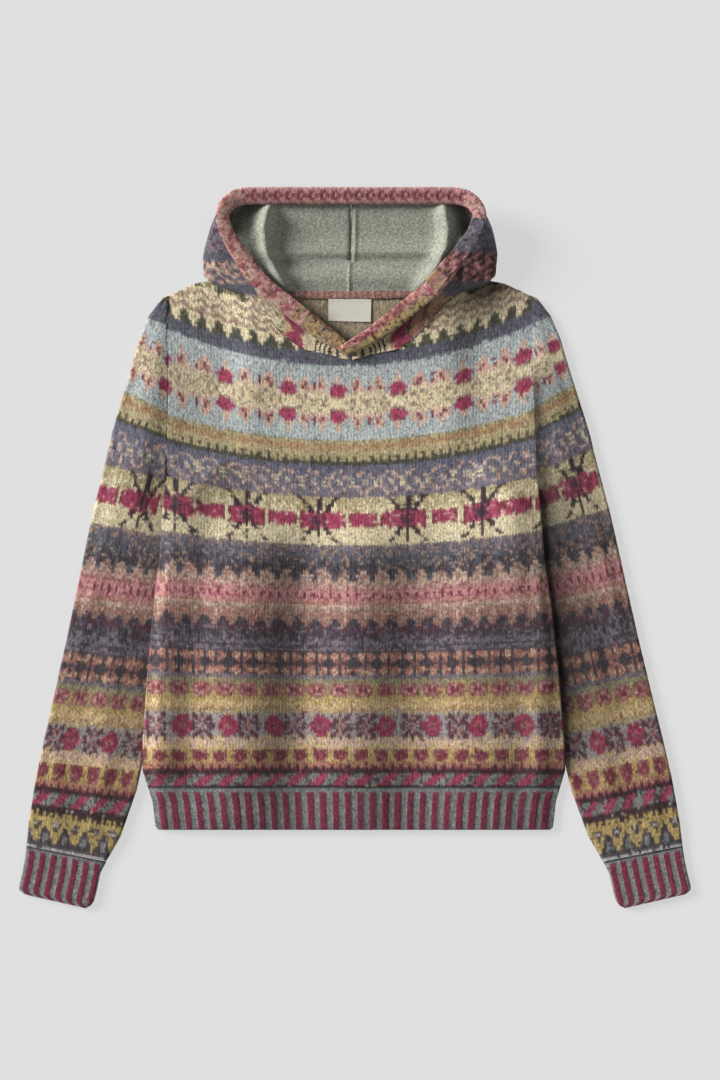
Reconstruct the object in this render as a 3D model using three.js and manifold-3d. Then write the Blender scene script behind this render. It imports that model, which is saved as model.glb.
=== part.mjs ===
// A hooded jumper in patterned wool, laid flat on its back with its hood folded down behind the neck.
// Millimetres. +Z is up from the table, +Y runs from the hem to the hood, +X is the wearer's left.
// Points are given as (a, y): a is the distance from the garment's centre line, y is along it.

import * as THREE from "three";
import { mergeVertices } from "three/addons/utils/BufferGeometryUtils.js";
import Module from "manifold-3d";

const wasm = await Module();
wasm.setup();

// ---- Driving sizes ------------------------------------------------------------------------------

const KNIT = 2.8; // thickness of the knitted cloth
const LINING = 1.8; // thickness of the hood's woollen lining
const BAND = 3.6; // the hood's edge, knitted double
const TAPE = 1.2;
const LABEL = { width: 49, length: 26, thickness: 0.8, a: 0, y: 273, tilt: -0.02 };
const SEAM = 0.3; // space left between pieces where they are sewn or lie on each other
const LOFT = 2.2; // how far the two layers of body or sleeve stand apart where nothing presses them

const HEM_END = -324; // bottom of the rib
const HEM_SEAM = -275; // where rib and panels meet
const UNDERARM = 88; // the armholes begin here
const POUCH = { height: 9.2, halfWidth: 104, low: 135, high: 376, corner: 38, reach: 46 };
const PANEL_ROWS = 14;
const TUCK_HEIGHT = 6.4; // how far the sleeves lift the body's sides where they lie under them

// The garment lies slightly askew: its centre line leans towards the wearer's right as it goes up.
const LEAN = { from: -400, run: 110 };

// Half widths of the body along its length.
const BODY_SIDE = [
  { y: HEM_END, half: 228 },
  { y: -291, half: 232 },
  { y: HEM_SEAM, half: 237 },
  { y: -255, half: 243 },
  { y: -221, half: 242 },
  { y: -152, half: 237 },
  { y: -80, half: 230 },
  { y: -10, half: 221 },
  { y: 78, half: 215 },
  { y: 170, half: 212 },
  { y: 290, half: 211 },
];

// Upper edges of the panels from the centre out: neckline, neck point, shoulder.
const SHOULDER = [
  { a: 114, y: 312 },
  { a: 140, y: 312 },
  { a: 178, y: 305 },
  { a: 195, y: 298 },
  { a: 211, y: 289 },
];
const FRONT_EDGE = [
  { a: 0, y: 226 },
  { a: 18, y: 227 },
  { a: 49, y: 232 },
  { a: 66, y: 241 },
  { a: 85, y: 264 },
  { a: 98, y: 282 },
  { a: 107, y: 297 },
  ...SHOULDER,
];
const BACK_EDGE = [
  { a: 0, y: 290 },
  { a: 25, y: 290 },
  { a: 50, y: 291 },
  { a: 75, y: 294 },
  { a: 92, y: 299 },
  { a: 104, y: 305 },
  ...SHOULDER,
];

// Flattened sleeve: each row joins a point of the inner fold to one of the outer fold.
// Rows above the underarm run in past the armhole and are cut there.
const SLEEVE_ROWS = [
  { inA: 284, inY: -360, outA: 377, outY: -342 },
  { inA: 266, inY: -332, outA: 374, outY: -315 },
  { inA: 249, inY: -279, outA: 366, outY: -267 },
  { inA: 239, inY: -232, outA: 356, outY: -221 },
  { inA: 225, inY: -187, outA: 345, outY: -175 },
  { inA: 211, inY: -120, outA: 329, outY: -106 },
  { inA: 201, inY: -53, outA: 314, outY: -37 },
  { inA: 204, inY: -8, outA: 304, outY: 10 },
  { inA: 218, inY: 30, outA: 296, outY: 46 },
  { inA: 216.5, inY: 62, outA: 287, outY: 80 },
  { inA: 216, inY: 84, outA: 281, outY: 104 },
  { inA: 196, inY: 108, outA: 274, outY: 134 },
  { inA: 196, inY: 140, outA: 263, outY: 170 },
  { inA: 196, inY: 176, outA: 252, outY: 206 },
  { inA: 196, inY: 214, outA: 242, outY: 241 },
  { inA: 196, inY: 250, outA: 232, outY: 267 },
  { inA: 196, inY: 274, outA: 219, outY: 284 },
];

// Cuff: the same, from its seam with the sleeve to its end.
const CUFF_ROWS = [
  { inA: 284.1, inY: -360.3, outA: 377.1, outY: -342.3 },
  { inA: 294, inY: -382, outA: 382, outY: -366 },
  { inA: 303, inY: -404, outA: 386, outY: -391 },
  { inA: 310, inY: -415, outA: 385, outY: -399 },
];

// Middle line of the hood's edge band, from the V at the front up to the centre seam:
// its half width and the heights of its outer and inner edges.
const BAND_LINE = [
  { a: 6, y: 230, half: 7, outer: 23, inner: 23.5 },
  { a: 20, y: 240, half: 9, outer: 23, inner: 24 },
  { a: 40, y: 254, half: 11, outer: 24.5, inner: 26 },
  { a: 73, y: 280, half: 11, outer: 28, inner: 29 },
  { a: 98, y: 301, half: 10.5, outer: 32, inner: 32 },
  { a: 124, y: 333, half: 9.5, outer: 37, inner: 35.5 },
  { a: 140, y: 357, half: 8.5, outer: 41, inner: 38.5 },
  { a: 149, y: 379, half: 8, outer: 43, inner: 40 },
  { a: 146, y: 394, half: 9, outer: 44, inner: 38 },
  { a: 132, y: 403, half: 10, outer: 44, inner: 36 },
  { a: 100, y: 405, half: 10, outer: 43.5, inner: 35 },
  { a: 50, y: 405, half: 10, outer: 43, inner: 35 },
  { a: 0, y: 405, half: 10, outer: 43, inner: 35 },
];

// At the V the wearer's left end of the band lies over the right one.
const CROSSING = { reach: 14, drop: 5, height: 4.3 };

// Hood, outer cloth: each row runs from under the band (at along, a share of the band's line) through
// the outermost point to the foot, on the body or on the table.
const HOOD_ROWS = [
  { along: 0.06, outA: 24, outY: 228, outZ: 19.4, footA: 24, footY: 222, on: "body" },
  { along: 0.2, outA: 51, outY: 240, outZ: 20, footA: 54, footY: 228, on: "body" },
  { along: 0.26, outA: 71, outY: 253, outZ: 21, footA: 76, footY: 243, on: "body" },
  { along: 0.31, outA: 88, outY: 270, outZ: 23, footA: 93, footY: 262, on: "body" },
  { along: 0.36, outA: 104, outY: 285, outZ: 25, footA: 109, footY: 277, on: "body" },
  { along: 0.4, outA: 122, outY: 296, outZ: 25, footA: 120, footY: 290, on: "body" },
  { along: 0.44, outA: 142, outY: 299, outZ: 22, footA: 130, footY: 300, on: "body" },
  { along: 0.48, outA: 160, outY: 305, outZ: 21, footA: 138, footY: 308, on: "body" },
  { along: 0.52, outA: 170, outY: 314, outZ: 19, footA: 144, footY: 318, on: "edge" },
  { along: 0.57, outA: 174, outY: 328, outZ: 17, footA: 130, footY: 326, on: "low" },
  { along: 0.63, outA: 170, outY: 346, outZ: 18, footA: 110, footY: 336, on: "table" },
  { along: 0.69, outA: 164, outY: 366, outZ: 20, footA: 105.5, footY: 344, on: "table" },
  { along: 0.73, outA: 159, outY: 386, outZ: 21, footA: 102, footY: 355, on: "table" },
  { along: 0.77, outA: 151, outY: 402, outZ: 22, footA: 94, footY: 366, on: "table" },
  { along: 0.81, outA: 132, outY: 407, outZ: 22, footA: 84, footY: 373, on: "table" },
  { along: 0.87, outA: 97, outY: 408.7, outZ: 22, footA: 66, footY: 377.5, on: "table" },
  { along: 0.94, outA: 45, outY: 408.7, outZ: 22, footA: 34, footY: 377.5, on: "table" },
  { along: 0.998, outA: 0.5, outY: 408.7, outZ: 22, footA: 0.5, footY: 377.5, on: "table" },
];

// Edge of the lining at the side, under the band.
const LINING_EDGE = [
  { y: 292, a: 76 },
  { y: 300, a: 88 },
  { y: 315, a: 104 },
  { y: 333, a: 118 },
  { y: 350, a: 130 },
  { y: 368, a: 138 },
  { y: 382, a: 141 },
  { y: 392, a: 135 },
  { y: 397, a: 124 },
];

const COLOUR = {
  body: "#7d7a86",
  sleeve: "#86808a",
  rib: "#75585f",
  hood: "#6a6470",
  lining: "#9a9d90",
  band: "#b0686c",
  fold: "#8a8b80",
  tape: "#a87f80",
  label: "#dcd8cd",
};

// ---- Small helpers ------------------------------------------------------------------------------

const smooth = (t) => {
  const x = Math.min(1, Math.max(0, t));
  return x * x * (3 - 2 * x);
};
const mix = (p, q, t) => p + (q - p) * t;
const hill = (d, width) => Math.exp(-((d / width) ** 2));

// Value of a column of a table at a given key, straight between rows.
function lookUp(table, key, column, x) {
  const rising = table[0][key] < table[table.length - 1][key] ? table : [...table].reverse();
  if (x <= rising[0][key]) return rising[0][column];
  for (let i = 1; i < rising.length; i++)
    if (x <= rising[i][key]) {
      const t = (x - rising[i - 1][key]) / (rising[i][key] - rising[i - 1][key]);
      return mix(rising[i - 1][column], rising[i][column], t);
    }
  return rising[rising.length - 1][column];
}

const leanAt = (y) => -(y - LEAN.from) / LEAN.run;
const place = (side, a, y, z) => new THREE.Vector3(side * a + leanAt(y), y, z);

// ---- Heights of what lies on what ---------------------------------------------------------------

const halfWidth = (y) => lookUp(BODY_SIDE, "y", "half", y);

// Underside of the body: on the table, over the folded hood, and over the tucked edges of the sleeves.
function underBody(a, y) {
  const beside = Math.max(Math.abs(a) - POUCH.halfWidth - 2, 0);
  const below = Math.max(POUCH.low - 18 - y, 0);
  const overPouch = (POUCH.height + SEAM) * (1 - smooth(Math.hypot(beside, below) / POUCH.reach));
  const tucked = smooth((84 - y) / 30) * smooth((y + 274) / 24);
  const overSleeve = TUCK_HEIGHT * tucked * smooth((Math.abs(a) - halfWidth(y) + 62) / 34);
  return Math.max(overPouch, overSleeve);
}

// Space between front and back: closed at side seams and shoulders, open at armholes, hem and neck.
function bodySpace(a, y) {
  const fromSide = halfWidth(y) - Math.abs(a);
  const atArmhole = smooth((y - UNDERARM) / 30);
  const fromShoulder = lookUp(SHOULDER, "a", "y", Math.max(Math.abs(a), 114)) - y;
  const side = Math.max(smooth(fromSide / 34), atArmhole);
  return SEAM + LOFT * side * smooth(fromShoulder / 30);
}

const frontTop = (a, y) => underBody(a, y) + 2 * KNIT + bodySpace(a, y);

// ---- Closed solids from grids -------------------------------------------------------------------

function geometryOf(points, faces) {
  const flat = faces.flatMap((f) => f.flatMap((i) => points[i].toArray()));
  const geometry = new THREE.BufferGeometry();
  geometry.setAttribute("position", new THREE.Float32BufferAttribute(flat, 3));
  const merged = mergeVertices(geometry, 1e-4);
  merged.computeVertexNormals();
  return merged;
}

// A sheet between two grids of points with the same rows and columns; upper faces up.
function sheet(upper, lower) {
  const rows = upper.length;
  const cols = upper[0].length;
  const points = [...upper.flat(), ...lower.flat()];
  const top = (i, j) => i * cols + j;
  const low = (i, j) => rows * cols + i * cols + j;
  const faces = [];
  const quad = (p, q, r, s) => faces.push([p, q, r], [p, r, s]);
  for (let i = 0; i + 1 < rows; i++)
    for (let j = 0; j + 1 < cols; j++) {
      quad(top(i, j), top(i, j + 1), top(i + 1, j + 1), top(i + 1, j));
      quad(low(i, j), low(i + 1, j), low(i + 1, j + 1), low(i, j + 1));
    }
  for (let j = 0; j + 1 < cols; j++) {
    quad(low(0, j), low(0, j + 1), top(0, j + 1), top(0, j));
    quad(top(rows - 1, j), top(rows - 1, j + 1), low(rows - 1, j + 1), low(rows - 1, j));
  }
  for (let i = 0; i + 1 < rows; i++) {
    quad(top(i, 0), top(i + 1, 0), low(i + 1, 0), low(i, 0));
    quad(low(i, cols - 1), low(i + 1, cols - 1), top(i + 1, cols - 1), top(i, cols - 1));
  }
  return { points, faces };
}

// A tube wall between outer and inner closed rings.
function tube(outer, inner) {
  const rows = outer.length;
  const around = outer[0].length;
  const points = [...outer.flat(), ...inner.flat()];
  const out = (i, j) => i * around + (j % around);
  const inn = (i, j) => rows * around + i * around + (j % around);
  const faces = [];
  const quad = (p, q, r, s) => faces.push([p, q, r], [p, r, s]);
  for (let j = 0; j < around; j++) {
    for (let i = 0; i + 1 < rows; i++) {
      quad(out(i, j), out(i, j + 1), out(i + 1, j + 1), out(i + 1, j));
      quad(inn(i, j), inn(i + 1, j), inn(i + 1, j + 1), inn(i, j + 1));
    }
    quad(inn(0, j), inn(0, j + 1), out(0, j + 1), out(0, j));
    quad(out(rows - 1, j), out(rows - 1, j + 1), inn(rows - 1, j + 1), inn(rows - 1, j));
  }
  return { points, faces };
}

// A mirrored piece has its faces turned back the right way.
const turned = ({ points, faces }) => ({ points, faces: faces.map(([p, q, r]) => [p, r, q]) });
const facing = (solid, side) => (side > 0 ? solid : turned(solid));

// Grid moved along its own normals; the normals point to the side that faces up or out.
function movedOut(grid, distance) {
  const at = (i, j) =>
    grid[Math.min(grid.length - 1, Math.max(0, i))][Math.min(grid[0].length - 1, Math.max(0, j))];
  return grid.map((row, i) =>
    row.map((p, j) => {
      const across = at(i, j + 1).clone().sub(at(i, j - 1));
      const along = at(i + 1, j).clone().sub(at(i - 1, j));
      return p.clone().addScaledVector(across.cross(along).normalize(), distance);
    }),
  );
}

// ---- Body ---------------------------------------------------------------------------------------

// Columns of a panel run down from the points of its upper edge, evenly shared out over its width.
function panelGrid(edge, yLow, rows, heightAt) {
  const points = [...edge.slice(1).reverse().map((p) => ({ a: -p.a, y: p.y })), ...edge];
  return Array.from({ length: rows + 1 }, (_, i) =>
    points.map((top) => {
      const y = mix(yLow, top.y, i / rows);
      const a = (top.a * halfWidth(y)) / 211;
      const limited = Math.sign(a) * Math.min(Math.abs(a), halfWidth(y));
      return place(1, limited, y, heightAt(limited, y));
    }),
  );
}

function bodyBack() {
  const low = panelGrid(BACK_EDGE, HEM_SEAM + SEAM, PANEL_ROWS, (a, y) => underBody(a, y));
  const high = panelGrid(BACK_EDGE, HEM_SEAM + SEAM, PANEL_ROWS, (a, y) => underBody(a, y) + KNIT);
  return sheet(high, low);
}

function bodyFront() {
  const low = panelGrid(FRONT_EDGE, HEM_SEAM + SEAM, PANEL_ROWS, (a, y) => frontTop(a, y) - KNIT);
  const high = panelGrid(FRONT_EDGE, HEM_SEAM + SEAM, PANEL_ROWS, frontTop);
  return sheet(high, low);
}

function hemRib(bottomAt) {
  const columns = 20;
  const grid = (lift) =>
    [HEM_END, -300, HEM_SEAM].map((y) =>
      Array.from({ length: columns + 1 }, (_, j) => {
        const a = halfWidth(y) * Math.sin(((2 * j) / columns - 1) * (Math.PI / 2));
        return place(1, a, y, bottomAt(a, y) + lift);
      }),
    );
  return sheet(grid(KNIT), grid(0));
}

// ---- Sleeves and cuffs --------------------------------------------------------------------------

// One flattened ring: along the bottom, round the outer fold, back on top, round the inner fold.
function flatRing(side, row, spaceAt, shrink) {
  const inner = new THREE.Vector2(row.inA, row.inY);
  const outer = new THREE.Vector2(row.outA, row.outY);
  const width = inner.distanceTo(outer);
  const across = outer.clone().sub(inner).divideScalar(width);
  const steps = 6;
  const turns = 3;
  const ring = [];
  const put = (s, z) => {
    const p = inner.clone().addScaledVector(across, s);
    ring.push(place(side, p.x, p.y, z));
  };
  const lift = (s) => {
    const p = inner.clone().addScaledVector(across, s);
    return p.y > UNDERARM - 10 ? underBody(p.x, p.y) : 0;
  };
  const low = (s) => lift(s) + shrink;
  const high = (s) => lift(s) + 2 * KNIT + spaceAt(s / width) - shrink;
  const fold = (s, out) => {
    const middle = (low(s) + high(s)) / 2;
    const radius = (high(s) - low(s)) / 2;
    for (let k = 1; k <= turns; k++) {
      const angle = (Math.PI * k) / (turns + 1);
      put(s + out * radius * Math.sin(angle), middle - out * radius * Math.cos(angle));
    }
  };
  const foldAt = KNIT + SEAM / 2;
  const stations = Array.from({ length: steps + 1 }, (_, k) => mix(foldAt, width - foldAt, k / steps));
  stations.forEach((s) => put(s, low(s)));
  fold(width - foldAt, 1);
  stations.reverse().forEach((s) => put(s, high(s)));
  fold(foldAt, -1);
  return ring;
}

// Space inside the sleeve: pressed flat under the body, loose in the middle, closed at the folds.
function sleeveSpace(row) {
  const rowWidth = Math.hypot(row.outA - row.inA, row.outY - row.inY);
  const hidden = row.inY < UNDERARM - 30 ? Math.max(halfWidth(row.inY) + 3 - row.inA, 0) : 0;
  const cut = row.inY > UNDERARM;
  return (c) => {
    const start = hidden / rowWidth;
    const rise = cut ? 1 : smooth((c - start - 0.02) / 0.3);
    return SEAM + LOFT * rise * smooth((0.97 - c) / 0.3);
  };
}

function sleeve(side) {
  const rings = (shrink) => SLEEVE_ROWS.map((row) => flatRing(side, row, sleeveSpace(row), shrink));
  const whole = solidOf(facing(turned(tube(rings(0), rings(KNIT))), side));
  return fromSolid(whole.subtract(armholeCutter(side)));
}

// What lies inside the armhole line, above the underarm.
function armholeCutter(side) {
  const heights = [UNDERARM - 4, 130, 170, 230, 330];
  const edge = (y) => place(side, halfWidth(y) + SEAM, y, 0);
  const outline = new THREE.Shape();
  outline.moveTo(edge(heights[0]).x, heights[0]);
  heights.slice(1).forEach((y) => outline.lineTo(edge(y).x, y));
  outline.lineTo(side * 100, heights.at(-1));
  outline.lineTo(side * 100, heights[0]);
  const block = new THREE.ExtrudeGeometry(outline, { depth: 80, bevelEnabled: false });
  block.translate(0, 0, -20);
  return solidOfGeometry(block);
}

function cuff(side) {
  const space = () => (c) => SEAM + 0.9 * smooth(c / 0.2) * smooth((1 - c) / 0.2);
  const rings = (shrink) => CUFF_ROWS.map((row) => flatRing(side, row, space(row), shrink));
  return facing(tube(rings(0), rings(KNIT)), side);
}

// ---- Hood ---------------------------------------------------------------------------------------

const bandCurve = new THREE.CatmullRomCurve3(
  BAND_LINE.map((row) => new THREE.Vector3(row.a, row.y, 0)),
  false,
  "centripetal",
);

// A point of the band: along is 0 at the V and 1 at the centre seam, across is -1 at the outer edge.
function bandPoint(side, along, across) {
  const t = Math.min(1, Math.max(0, along));
  const middle = bandCurve.getPoint(t);
  const heading = bandCurve.getTangent(t);
  const index = t * (BAND_LINE.length - 1);
  const column = (name) => lookUp(BAND_LINE.map((row, i) => ({ i, v: row[name] })), "i", "v", index);
  const half = column("half");
  const outward = new THREE.Vector2(heading.y, -heading.x).normalize();
  const a = middle.x - outward.x * half * across;
  const y = middle.y - outward.y * half * across;
  const z = mix(column("outer"), column("inner"), (across + 1) / 2);
  return place(side, a, y, z);
}

function hoodBand() {
  const steps = 20;
  const stations = [];
  for (let k = 1; k <= 2 * steps; k++) {
    const side = k <= steps ? -1 : 1;
    const along = k <= steps ? k / steps : 2 - k / steps;
    stations.push({ side, along });
  }
  const grid = (lift) =>
    stations.map(({ side, along }) =>
      [-1, -0.4, 0.4, 1].map((across) => {
        const p = bandPoint(side, along, across);
        const crossing = side > 0 ? 1 - smooth(along / 0.12) : 0;
        p.x -= crossing * CROSSING.reach;
        p.y -= crossing * CROSSING.drop;
        p.z += lift + crossing * CROSSING.height + (Math.abs(across) < 1 ? 0.9 : 0);
        return p;
      }),
    );
  return sheet(grid(BAND / 2), grid(-BAND / 2));
}

const footHeight = {
  body: (a, y) => frontTop(a, y) + 3 * SEAM + KNIT / 2,
  edge: () => 8.6,
  low: () => 5,
  table: () => KNIT / 2,
};

function hoodOuter(side) {
  const steps = 7;
  const grid = HOOD_ROWS.map((row) => {
    const rim = bandPoint(side, row.along, -0.7);
    rim.z -= BAND / 2 + SEAM + KNIT / 2;
    const foot = place(side, row.footA, row.footY, footHeight[row.on](row.footA, row.footY));
    const out = place(side, row.outA, row.outY, row.outZ);
    const handle = out.clone().multiplyScalar(2).sub(rim.clone().add(foot).divideScalar(2));
    const curve = new THREE.QuadraticBezierCurve3(rim, handle, foot);
    return curve.getPoints(steps);
  });
  return sheet(movedOut(grid, KNIT / 2), movedOut(grid, -KNIT / 2));
}

// Height of the lining's underside: a bowl with a ridge across it, a roll down each side, and deep
// pockets between the rolls and the band.
function liningHeight(a, y) {
  const floor = POUCH.height + SEAM + 1.5;
  const ridge = 11 * hill(y - 333, 13) * smooth((120 - a) / 40);
  const back = 19 * smooth((y - 352) / 42);
  const rollAt = 92 + 0.12 * (y - 340) - 0.0035 * (y - 345) ** 2;
  const roll = 13 * hill(a - rollAt, 11) * smooth((y - 296) / 24) * smooth((400 - y) / 34);
  const wall = 13 * smooth((a - 100) / 38) * smooth((y - 322) / 36);
  return floor + ridge + back * smooth((150 - a) / 60) + roll + wall;
}

function lining(side) {
  const rows = 10;
  const cols = 9;
  const low = LINING_EDGE[0].y;
  const grid = (lift) =>
    Array.from({ length: rows + 1 }, (_, i) => {
      const level = mix(low, LINING_EDGE.at(-1).y, i / rows);
      const edge = lookUp(LINING_EDGE, "y", "a", level);
      return Array.from({ length: cols + 1 }, (_, j) => {
        const a = mix(SEAM / 2, edge, j / cols);
        const neckline = lookUp(BACK_EDGE, "a", "y", a) + 1 - low;
        const y = level + Math.max(neckline, 0) * (1 - i / rows);
        return place(side, a, y, liningHeight(a, y) + lift);
      });
    });
  return facing(sheet(grid(LINING), grid(0)), side);
}

// Layers of hood and lining folded away: outline drawn in a little at each line between layers.
function hoodFold() {
  const layers = [
    { z: 0, inset: 1.6 },
    { z: 1.2, inset: 0 },
    { z: 2.4, inset: 0.4 },
    { z: 2.8, inset: 2.4 },
    { z: 3.4, inset: 0.4 },
    { z: 4.6, inset: 1.2 },
    { z: 5.6, inset: 3 },
    { z: 6.4, inset: 1 },
    { z: 8, inset: 1.4 },
    { z: POUCH.height, inset: 4 },
  ];
  const perCorner = 5;
  const outline = (inset) => {
    const points = [];
    const corners = [
      { a: 1, y: -1 },
      { a: 1, y: 1 },
      { a: -1, y: 1 },
      { a: -1, y: -1 },
    ];
    corners.forEach((corner, k) => {
      const centreY = corner.y > 0 ? POUCH.high - POUCH.corner : POUCH.low + POUCH.corner;
      const centreA = corner.a * (POUCH.halfWidth - POUCH.corner);
      for (let n = 0; n <= perCorner; n++) {
        const angle = (Math.PI / 2) * (k - 1 + n / perCorner);
        const radius = POUCH.corner - inset;
        points.push([centreA + radius * Math.cos(angle), centreY + radius * Math.sin(angle)]);
      }
    });
    return points;
  };
  const rings = layers.map(({ z, inset }) => outline(inset).map(([a, y]) => place(1, a, y, z)));
  const around = rings[0].length;
  const points = [...rings.flat(), place(1, 0, 255, 0), place(1, 0, 255, POUCH.height)];
  const faces = [];
  for (let j = 0; j < around; j++) {
    const next = (j + 1) % around;
    for (let i = 0; i + 1 < rings.length; i++) {
      faces.push([i * around + j, i * around + next, (i + 1) * around + next]);
      faces.push([i * around + j, (i + 1) * around + next, (i + 1) * around + j]);
    }
    faces.push([next, j, rings.length * around]);
    const last = (rings.length - 1) * around;
    faces.push([last + j, last + next, rings.length * around + 1]);
  }
  return { points, faces };
}

// ---- Small pieces -------------------------------------------------------------------------------

function neckTape() {
  const steps = 12;
  const height = POUCH.height + SEAM + KNIT + 2 * SEAM + 1.4;
  const grid = (lift) =>
    [286.5, 294].map((y) =>
      Array.from({ length: steps + 1 }, (_, j) => {
        const a = mix(-70, 76, j / steps);
        return place(1, a, y + 3 * (a / 80) ** 4, height + lift);
      }),
    );
  return sheet(grid(TAPE), grid(0));
}

function labelPiece() {
  const geometry = new THREE.BoxGeometry(LABEL.width, LABEL.length, LABEL.thickness);
  geometry.rotateZ(LABEL.tilt);
  const base = POUCH.height + SEAM + KNIT + SEAM;
  geometry.translate(LABEL.a + leanAt(LABEL.y), LABEL.y, base + LABEL.thickness / 2);
  return geometry;
}

// ---- manifold-3d --------------------------------------------------------------------------------

function solidOfGeometry(geometry) {
  const bare = geometry.clone();
  bare.deleteAttribute("normal");
  bare.deleteAttribute("uv");
  const merged = mergeVertices(bare, 1e-4);
  return new wasm.Manifold(
    new wasm.Mesh({
      numProp: 3,
      vertProperties: merged.attributes.position.array,
      triVerts: new Uint32Array(merged.index.array),
    }),
  );
}

const solidOf = ({ points, faces }) => solidOfGeometry(geometryOf(points, faces));

function fromSolid(solid) {
  const mesh = solid.getMesh();
  const geometry = new THREE.BufferGeometry();
  geometry.setAttribute("position", new THREE.BufferAttribute(new Float32Array(mesh.vertProperties), 3));
  geometry.setIndex(new THREE.BufferAttribute(new Uint32Array(mesh.triVerts), 1));
  geometry.computeVertexNormals();
  return geometry;
}

// ---- The garment --------------------------------------------------------------------------------

const hoodie = new THREE.Group();

function add(name, shape, colour, roughness = 0.95) {
  const geometry = shape.isBufferGeometry ? shape : geometryOf(shape.points, shape.faces);
  const material = new THREE.MeshStandardMaterial({ color: colour, roughness, metalness: 0 });
  const mesh = new THREE.Mesh(geometry, material);
  mesh.name = name;
  hoodie.add(mesh);
}

add("body_back", bodyBack(), COLOUR.body);
add("body_front", bodyFront(), COLOUR.body);
add("hem_rib_back", hemRib(() => 0), COLOUR.rib);
add("hem_rib_front", hemRib((a, y) => KNIT + bodySpace(a, y)), COLOUR.rib);
for (const [name, side] of [["left", 1], ["right", -1]]) {
  add(`sleeve_${name}`, sleeve(side), COLOUR.sleeve);
  add(`cuff_${name}`, cuff(side), COLOUR.rib);
  add(`hood_${name}`, hoodOuter(side), COLOUR.hood);
  add(`hood_lining_${name}`, lining(side), COLOUR.lining);
}
add("hood_band", hoodBand(), COLOUR.band);
add("hood_fold", hoodFold(), COLOUR.fold);
add("neck_tape", neckTape(), COLOUR.tape);
add("label", labelPiece(), COLOUR.label, 0.7);

export default hoodie;
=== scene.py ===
# %% [markdown]
# # A hooded Fair Isle jumper, laid flat
#
# The jumper is knitted in many colours and lies on its back, with the hood folded down behind the neck.
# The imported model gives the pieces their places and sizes, and this lesson knits each of them again.
#
# A knitted garment could be a smooth sheet with a painted pattern. Here it is made as a knitter makes it,
# stitch by stitch: every stitch is two small slanting faces, the two legs of a knitted V, and takes its
# yarn from a chart. So the pattern bends with the cloth, its edges step from stitch to stitch, and no
# picture is needed.
#
# Lengths are in millimetres until a mesh is made. +X is the wearer's left, +Y runs from the hem to the
# hood and +Z is up from the table.

# %% Setting up
import math

import bmesh
import bpy
import numpy as np
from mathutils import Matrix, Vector


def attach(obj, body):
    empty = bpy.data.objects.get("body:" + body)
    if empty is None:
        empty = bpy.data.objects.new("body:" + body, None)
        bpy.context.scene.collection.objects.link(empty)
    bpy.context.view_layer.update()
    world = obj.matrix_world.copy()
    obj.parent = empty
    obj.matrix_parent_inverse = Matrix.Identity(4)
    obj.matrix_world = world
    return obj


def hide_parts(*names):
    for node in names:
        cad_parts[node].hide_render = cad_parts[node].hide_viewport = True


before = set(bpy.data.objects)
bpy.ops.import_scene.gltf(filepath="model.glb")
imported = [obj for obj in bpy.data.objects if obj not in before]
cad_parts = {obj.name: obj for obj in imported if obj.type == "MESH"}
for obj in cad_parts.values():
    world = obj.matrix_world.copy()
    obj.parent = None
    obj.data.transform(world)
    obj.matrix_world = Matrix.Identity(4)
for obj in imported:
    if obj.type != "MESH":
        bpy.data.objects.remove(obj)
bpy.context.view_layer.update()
MM = 0.001
random = np.random.default_rng(41)
print("pieces in the frame:", len(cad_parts))

# %% [markdown]
# ## Sizes
#
# A knitted garment is planned in stitches and rows. These are the gauge, the thickness of each cloth, and
# the few sizes that the outlines are drawn from. A point on the garment is (a, y): a is its distance from
# the centre line, which leans a little because nothing lies quite straight. Both halves share one outline,
# as they do in the knitter's plan.

# %% Gauge and driving sizes
STITCH = 3.3  # width of one stitch
ROW = 2.3  # height of one row
SLEEVE_STITCH = 2.8  # the sleeves are knitted a little tighter
KNIT = 2.8  # thickness of the knitted cloth
LINING = 1.8  # of the lining
BAND = 3.6  # of the hood's edge, which is double
SEAM = 0.3  # space between pieces that are sewn together or lie on each other
LOFT = 2.2  # how far the two layers stand apart where nothing presses them
TABLE_TOP = 0.02  # cloth lies a hair above the table
HEM_END = -324  # lower edge of the rib
HEM_SEAM = -275  # where rib and panels meet
FIRST_ROW = HEM_SEAM + SEAM  # where the panels' first row begins
UNDERARM = 88  # the armholes begin here
POUCH = {"height": 9.2, "half_width": 104, "low": 135, "high": 376, "corner": 38, "reach": 46}
TUCK_HEIGHT = 6.4  # how far the sleeves lift the body's sides
LEAN = {"from": -400, "run": 110, "hood_from": 300, "hood_over": 70, "hood_back": 2.6}

BODY_SIDE = {
    "y": [HEM_END, -291, HEM_SEAM, -255, -221, -152, -80, -10, 78, 170, 290],
    "half": [228, 232, 237, 243, 242, 237, 230, 221, 215, 212, 211],
}
SHOULDER = {"a": [114, 140, 178, 195, 211], "y": [312, 312, 304, 296.5, 288.5]}
FRONT_NECK = {"a": [0, 18, 49, 66, 85, 98, 107], "y": [226, 227, 232, 241, 264, 282, 297]}
BACK_NECK = {"a": [0, 25, 50, 75, 92, 104], "y": [290, 290, 291, 294, 299, 305]}


# %% Small helpers for shapes
def smooth(t):
    """A soft step from 0 to 1."""
    t = np.clip(t, 0, 1)
    return t * t * (3 - 2 * t)


def hill(distance, width):
    """1 at no distance, fading softly to 0."""
    return np.exp(-((distance / width) ** 2))


def mix(p, q, t):
    """From p at t = 0 to q at t = 1."""
    return p + (q - p) * t


def lean_at(y):
    """Where the centre line is at y: it leans to the wearer's right, and a little less in the hood."""
    back = LEAN["hood_back"] * smooth((y - LEAN["hood_from"]) / LEAN["hood_over"])
    return -(y - LEAN["from"]) / LEAN["run"] + back


def half_width(y):
    return np.interp(y, BODY_SIDE["y"], BODY_SIDE["half"])


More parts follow.
